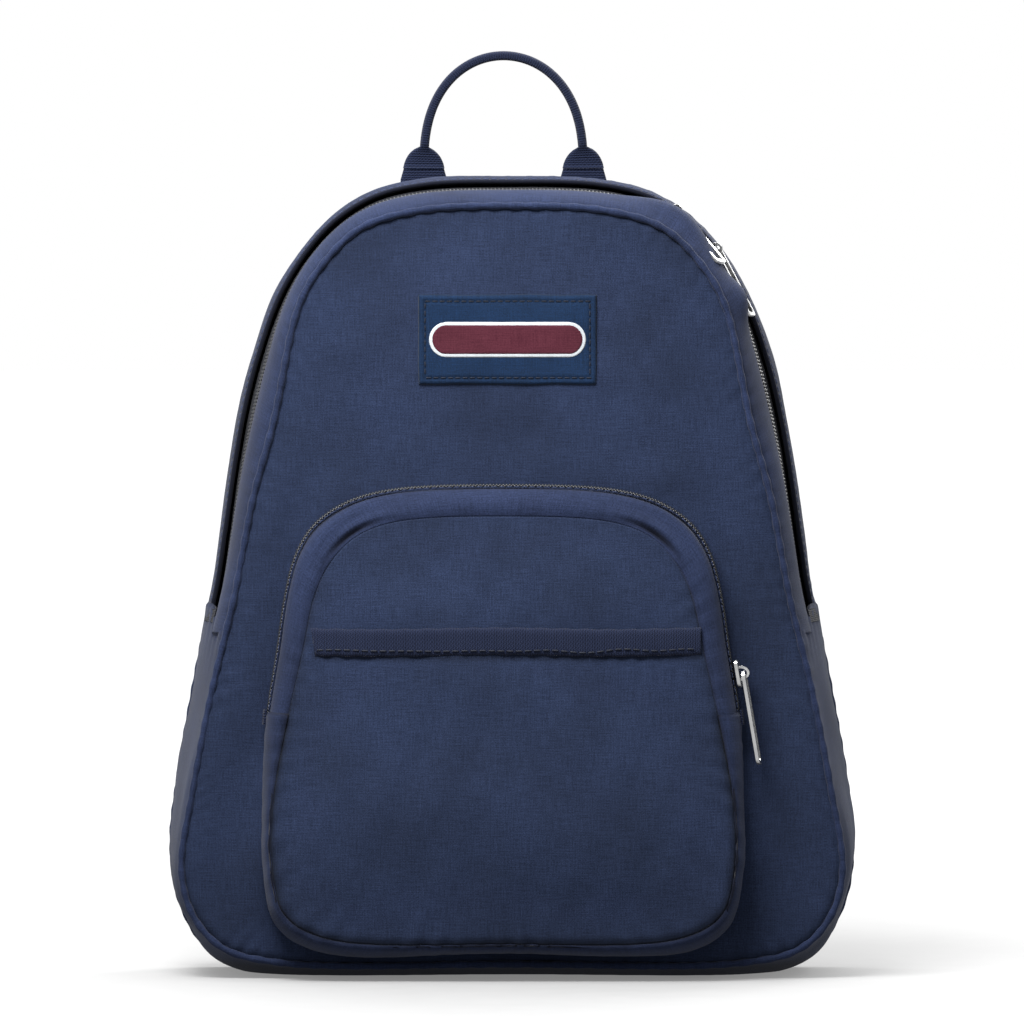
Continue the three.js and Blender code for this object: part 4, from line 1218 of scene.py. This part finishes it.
def lower_strap(word, side):
    """The end loop, the webbing from lock to corner tab, and the tail that hangs from the lock."""
    flip = np.array((side, 1, 1))
    end, tab = STRAP_LINE[-1] * flip, TAB_POINT * flip
    up = end - tab
    length = np.linalg.norm(up)
    up = up / length
    over = np.array((1.0, 0, 0)) - up * up[0]
    over /= np.linalg.norm(over)
    out = np.cross(up, over)
    top = end - up * LOCK_DROP

    def line(pairs):
        """Path from (outwards, upwards) pairs in the strap's own plane."""
        pairs = np.asarray(pairs, float)
        return top + pairs[:, :1] * out + pairs[:, 1:] * up

    def band(name, pairs, body, nodes, width=20, thick=1.4):
        ob = sweep_mesh(name + word, line(pairs), over, lambda s: band_section(width, thick, 20))
        return dress(ob, WEBBING, body, "webbing", nodes)

    bow = np.linspace(0, math.pi, 16)
    wrap = [(3.3, 15.5), (3.3, 8)] + [(3.3 * math.cos(t), -3.3 * math.sin(t)) for t in bow]
    wrap += [(-3.3, 8), (-3.3, 15.5)]
    band("strap_loop_", wrap, "strap_" + word, ("strap_end_loop_" + word,), thick=1.2)
    down = length - LOCK_DROP
    run = [(-0.4 - 1.2 * math.sin(math.pi * t), mix(-21, -down - 1, t)) for t in np.linspace(0, 1, 40)]
    web = band("strap_web_", run, None, ("strap_webbing_" + word,))
    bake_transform(web)
    hang = [(3.2 + 0.8 * math.sin(math.pi * t), mix(-12, -66, t)) for t in np.linspace(0, 1, 30)]
    tail = band("strap_tail_web_", hang, None, ("strap_tail_" + word,))
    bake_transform(tail)
    band("strap_tail_hem_", [(4.1, -58), (4.2, -62), (4.2, -66)], "strap_tail_" + word, (), 20.4, 2.6)


def anchors():
    """The band that holds the straps' tops, with a row of stitches along each edge."""
    def level(half, depth, height):
        x = np.linspace(-half, half, 60)
        return np.stack([x, np.full_like(x, BACK_Y + depth), np.full_like(x, height)], -1)

    ob = sweep_mesh("strap_anchor_webbing", level(62, 2.6, ANCHOR_Z), (0, 0, 1),
                    lambda s: band_section(20, 2.0, 20))
    dress(ob, WEBBING, "shell", "webbing", ("strap_anchor_band",))
    rows = [stitches("row", level(60, 3.7, ANCHOR_Z + step), (0, 1, 0), 3.2, 2.3, 0.28)
            for step in (-7.5, 7.5)]
    dress(joined("anchor_stitches", rows), THREAD, "shell")


def cad_materials():
    """Materials for the CAD nodes that stay in view."""
    shown = {
        "back_foam_pad": FOAM, "back_lining": LINING, "seam_binding": LINING,
        "main_zip_end_left": ZIP_END, "main_zip_end_right": ZIP_END,
        "pocket_zip_end_left": WEBBING_SOLID, "pocket_zip_end_right": WEBBING_SOLID,
        "strap_tab_left": WEBBING_SOLID, "strap_tab_right": WEBBING_SOLID,
    }
    for node, material in shown.items():
        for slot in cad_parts[node].material_slots:
            slot.link = "OBJECT"
            slot.material = material


# ---- camera, floor and lamps, in metres


def link_aimed(ob, place, aim):
    """Puts a camera or lamp in the scene, turned towards a point."""
    bpy.context.scene.collection.objects.link(ob)
    ob.location = place
    ob.rotation_euler = (Vector(aim) - Vector(place)).to_track_quat("-Z", "Y").to_euler()


def camera():
    data = bpy.data.cameras.new("camera")
    data.lens = 600
    data.sensor_width = 36
    data.clip_end = 50
    ob = bpy.data.objects.new("camera", data)
    distance = VIEW_WIDTH * data.lens / data.sensor_width
    aim = Vector((0, 0, VIEW_HEIGHT))
    back = Vector((0, -math.cos(VIEW_TILT), math.sin(VIEW_TILT)))
    link_aimed(ob, aim + back * distance, aim)
    bpy.context.scene.camera = ob


def area_lamp(name, place, aim, size, power):
    data = bpy.data.lights.new(name, "AREA")
    data.shape = "RECTANGLE"
    data.size, data.size_y = size
    data.energy = power
    ob = bpy.data.objects.new(name, data)
    link_aimed(ob, place, aim)
    ob.visible_camera = False


def floor_material():
    """White paper that glows as painted light: a little near the object, where the lamps light it, and
    more away from it, where they don't reach. The glow rises sooner to the sides than in front and
    behind, which leaves a painted darker patch round the base in the shape of its shadow.
    """
    n = Nodes("floor_white")
    where = n.place()
    # Distance from the object, stretched so that the painted glow rises sooner to the sides.
    away = n.add("ShaderNodeVectorMath", {0: n.stretched(where, (2.0, 0.7, 1))},
                 operation="LENGTH").outputs["Value"]
    share = n.add("ShaderNodeMapRange", {0: away, 1: 0.15, 2: 1.0, 3: 0.2, 4: 0.87}).outputs[0]
    grain = n.noise(where, 60.0, 3.0)
    tone = n.blend(grain, (0.12, 0.12, 0.12, 1), (0.14, 0.14, 0.14, 1))
    return n.set(Base_Color=tone, Roughness=0.9, Emission_Color=(1, 1, 1, 1),
                 Emission_Strength=share)


def studio():
    scene = bpy.context.scene
    scene.world = bpy.data.worlds.new("studio")
    scene.world.use_nodes = True
    background = scene.world.node_tree.nodes["Background"]
    background.inputs[0].default_value = (1, 1, 1, 1)
    background.inputs[1].default_value = 1.0
    corners = [(-FLOOR_HALF, -FLOOR_HALF, 0), (FLOOR_HALF, -FLOOR_HALF, 0),
               (FLOOR_HALF, FLOOR_HALF, 0), (-FLOOR_HALF, FLOOR_HALF, 0)]
    floor = mesh_object("floor", corners, [np.array([[0, 1, 2, 3]])])
    floor.data.materials.append(floor_material())
    area_lamp("key", (-0.25, -0.46, 0.88), (0, 0, 0.28), (0.5, 0.4), 29)
    area_lamp("back", (0.9, 1.3, 1.2), (0, 0, 0.2), (0.8, 0.8), 25)
    area_lamp("top", (0, 0.25, 1.5), (0, 0, 0.2), (1.1, 0.7), 30)
    scene.view_settings.view_transform = "Standard"
    scene.view_settings.look = "None"
    scene.view_settings.exposure = 0.0


# ---- everything

camera()
front_panel()
gussets()
piping()
main_zip()
pocket_sides()
pocket_front()
pocket_zip()
pocket_belt()
label_patch()
hardware()
haul_loop()
back_panel()
anchors()
for word, side in (("left", -1), ("right", 1)):
    strap_pad(word, side)
    lower_strap(word, side)
cad_materials()
studio()
